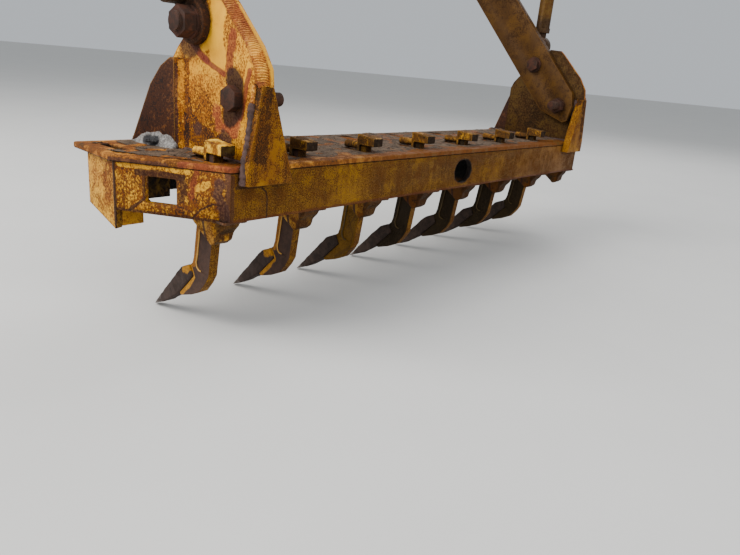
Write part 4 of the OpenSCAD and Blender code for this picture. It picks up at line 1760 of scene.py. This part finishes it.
@dataclass
class CrossShaft:
    """The cross shaft with its journal and end rings."""

    grower: Grower
    edge: float = 1.5 * MM
    screws: int = 6
    screw_circle: float = 33.5 * MM
    screw_head: float = 5.8 * MM
    screw_depth: float = 8 * MM
    end_radius: float = 25.5 * MM
    running_room: float = 0.3 * MM

    def build(self) -> None:
        """Builds the shaft, the rings and the rings' screws."""
        shaft = softened(welded_copy("pivot_shaft"), "cross_shaft", self.edge)
        for vertex in shaft.data.vertices:
            radius = math.hypot(vertex.co.y, vertex.co.z)
            if self.end_radius / 2 < radius < self.end_radius:
                share = 1 - self.running_room / radius
                vertex.co.y *= share
                vertex.co.z *= share
        settle(shaft, "journal_steel", ["pivot_shaft"], Body.SHAFT)
        for side in Side:
            node = "shaft_cap_" + side.word
            name = "shaft_ring_" + side.word
            Plate(node, name, "bolt_rust", "rusty_steel", self.edge, body=Body.SHAFT).build()
            low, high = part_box(node)
            face = high.x if side is Side.RIGHT else low.x
            turns = [math.tau * (i + 0.5) / self.screws for i in range(self.screws)]
            base = bpy.data.meshes.new("ring_screws")
            circle = self.screw_circle
            base.from_pydata([(face, circle * math.cos(t), circle * math.sin(t)) for t in turns], [], [])
            heads = self.grower.grown(
                self.grower.screws, base, "ring_screws_" + side.word, "bolt_rust",
                Head=self.screw_head, Depth=self.screw_depth,
            )
            heads.data.shade_flat()
            settle(heads, None, body=Body.SHAFT)


@dataclass(frozen=True)
class Camera:
    """The photograph's camera, placed from the beam's corner."""

    offset: Vector = Vector((-0.6946, -0.8798, 0.1923))
    turn: float = 51.41
    down: float = 18.56
    roll: float = 5.33
    focal_pixels: float = 640
    image_width: float = 740
    sensor: float = 36

    def build(self) -> None:
        """Makes the camera and sets it as the scene's."""
        yaw, pitch, roll = (math.radians(a) for a in (self.turn, self.down, self.roll))
        ahead = Vector((math.sin(yaw) * math.cos(pitch), math.cos(yaw) * math.cos(pitch), -math.sin(pitch)))
        right = Vector((math.cos(yaw), -math.sin(yaw), 0))
        above = right.cross(ahead)
        across = right * math.cos(roll) + above * math.sin(roll)
        upward = above * math.cos(roll) - right * math.sin(roll)
        data = bpy.data.cameras.new("photo_camera")
        data.sensor_width = self.sensor
        data.lens = self.focal_pixels / self.image_width * self.sensor
        data.clip_start = 0.01
        camera = new_object("photo_camera", data)
        turned = Matrix((across, upward, -ahead)).transposed().to_4x4()
        camera.matrix_world = Matrix.Translation(PLACES.corner + self.offset) @ turned
        bpy.context.scene.camera = camera


@dataclass(frozen=True)
class Lamp:
    """A soft square light that points at the beam."""

    name: str
    place: tuple[float, float, float]
    power: float
    colour: tuple[float, float, float]
    size: float = 3.0

    def build(self) -> None:
        """Adds the light."""
        data = bpy.data.lights.new(self.name, "AREA")
        data.size = self.size
        data.energy = self.power
        data.color = self.colour
        light = new_object(self.name, data)
        light.location = self.place
        aim = Vector((0, -0.5, -0.8)) - Vector(self.place)
        light.rotation_euler = aim.to_track_quat("-Z", "Y").to_euler()


@dataclass(frozen=True)
class Studio:
    """A plain pale floor and soft daylight."""

    floor_radius: float = 30
    lamps: tuple[Lamp, ...] = (
        Lamp("sky_left", (-3.2, 1.2, 2.2), 260, (1.0, 0.99, 0.97)),
        Lamp("sky_rear", (-1.5, -3.6, 1.6), 90, (0.97, 0.98, 1.0)),
        Lamp("sky_right", (3.4, 0.2, 2.4), 90, (0.97, 0.98, 1.0)),
    )

    def build(self) -> None:
        """Builds the floor, the lamps and the sky."""
        shape = bmesh.new()
        bmesh.ops.create_circle(shape, cap_ends=True, radius=self.floor_radius, segments=96)
        for vertex in shape.verts:
            vertex.co.z = CAD_BOX[0].z
        floor = new_object("floor", mesh_of(shape, "floor"))
        g = Graph("pale_floor")
        shade = g.blend(g.grain(3, 3), *tones("ceccc8 d6d4d0"))
        floor.data.materials.append(g.finish(shade, 0.9, g.grain(40, 2), 0.0003, gloss=0.2))
        for lamp in self.lamps:
            lamp.build()
        world = bpy.data.worlds.new("sky")
        world.use_nodes = True
        sky = world.node_tree.nodes["Background"]
        sky.inputs["Color"].default_value = tones("dee4ea")[0]
        sky.inputs["Strength"].default_value = 0.75
        bpy.context.scene.world = world


def main() -> None:
    """Builds the camera, the studio and every sub-assembly."""
    logging.basicConfig(level=logging.INFO, format="%(name)s: %(message)s")
    Camera().build()
    Studio().build()
    grower = Grower()
    Beam(grower).build()
    SocketRow(grower).build()
    ShankRow(grower).build()
    for side in Side:
        Bracket(grower, side).build()
        Arm(grower, side).build()
        LiftRod(grower, side).build()
    CrossShaft(grower).build()


if __name__ == "__main__":
    main()
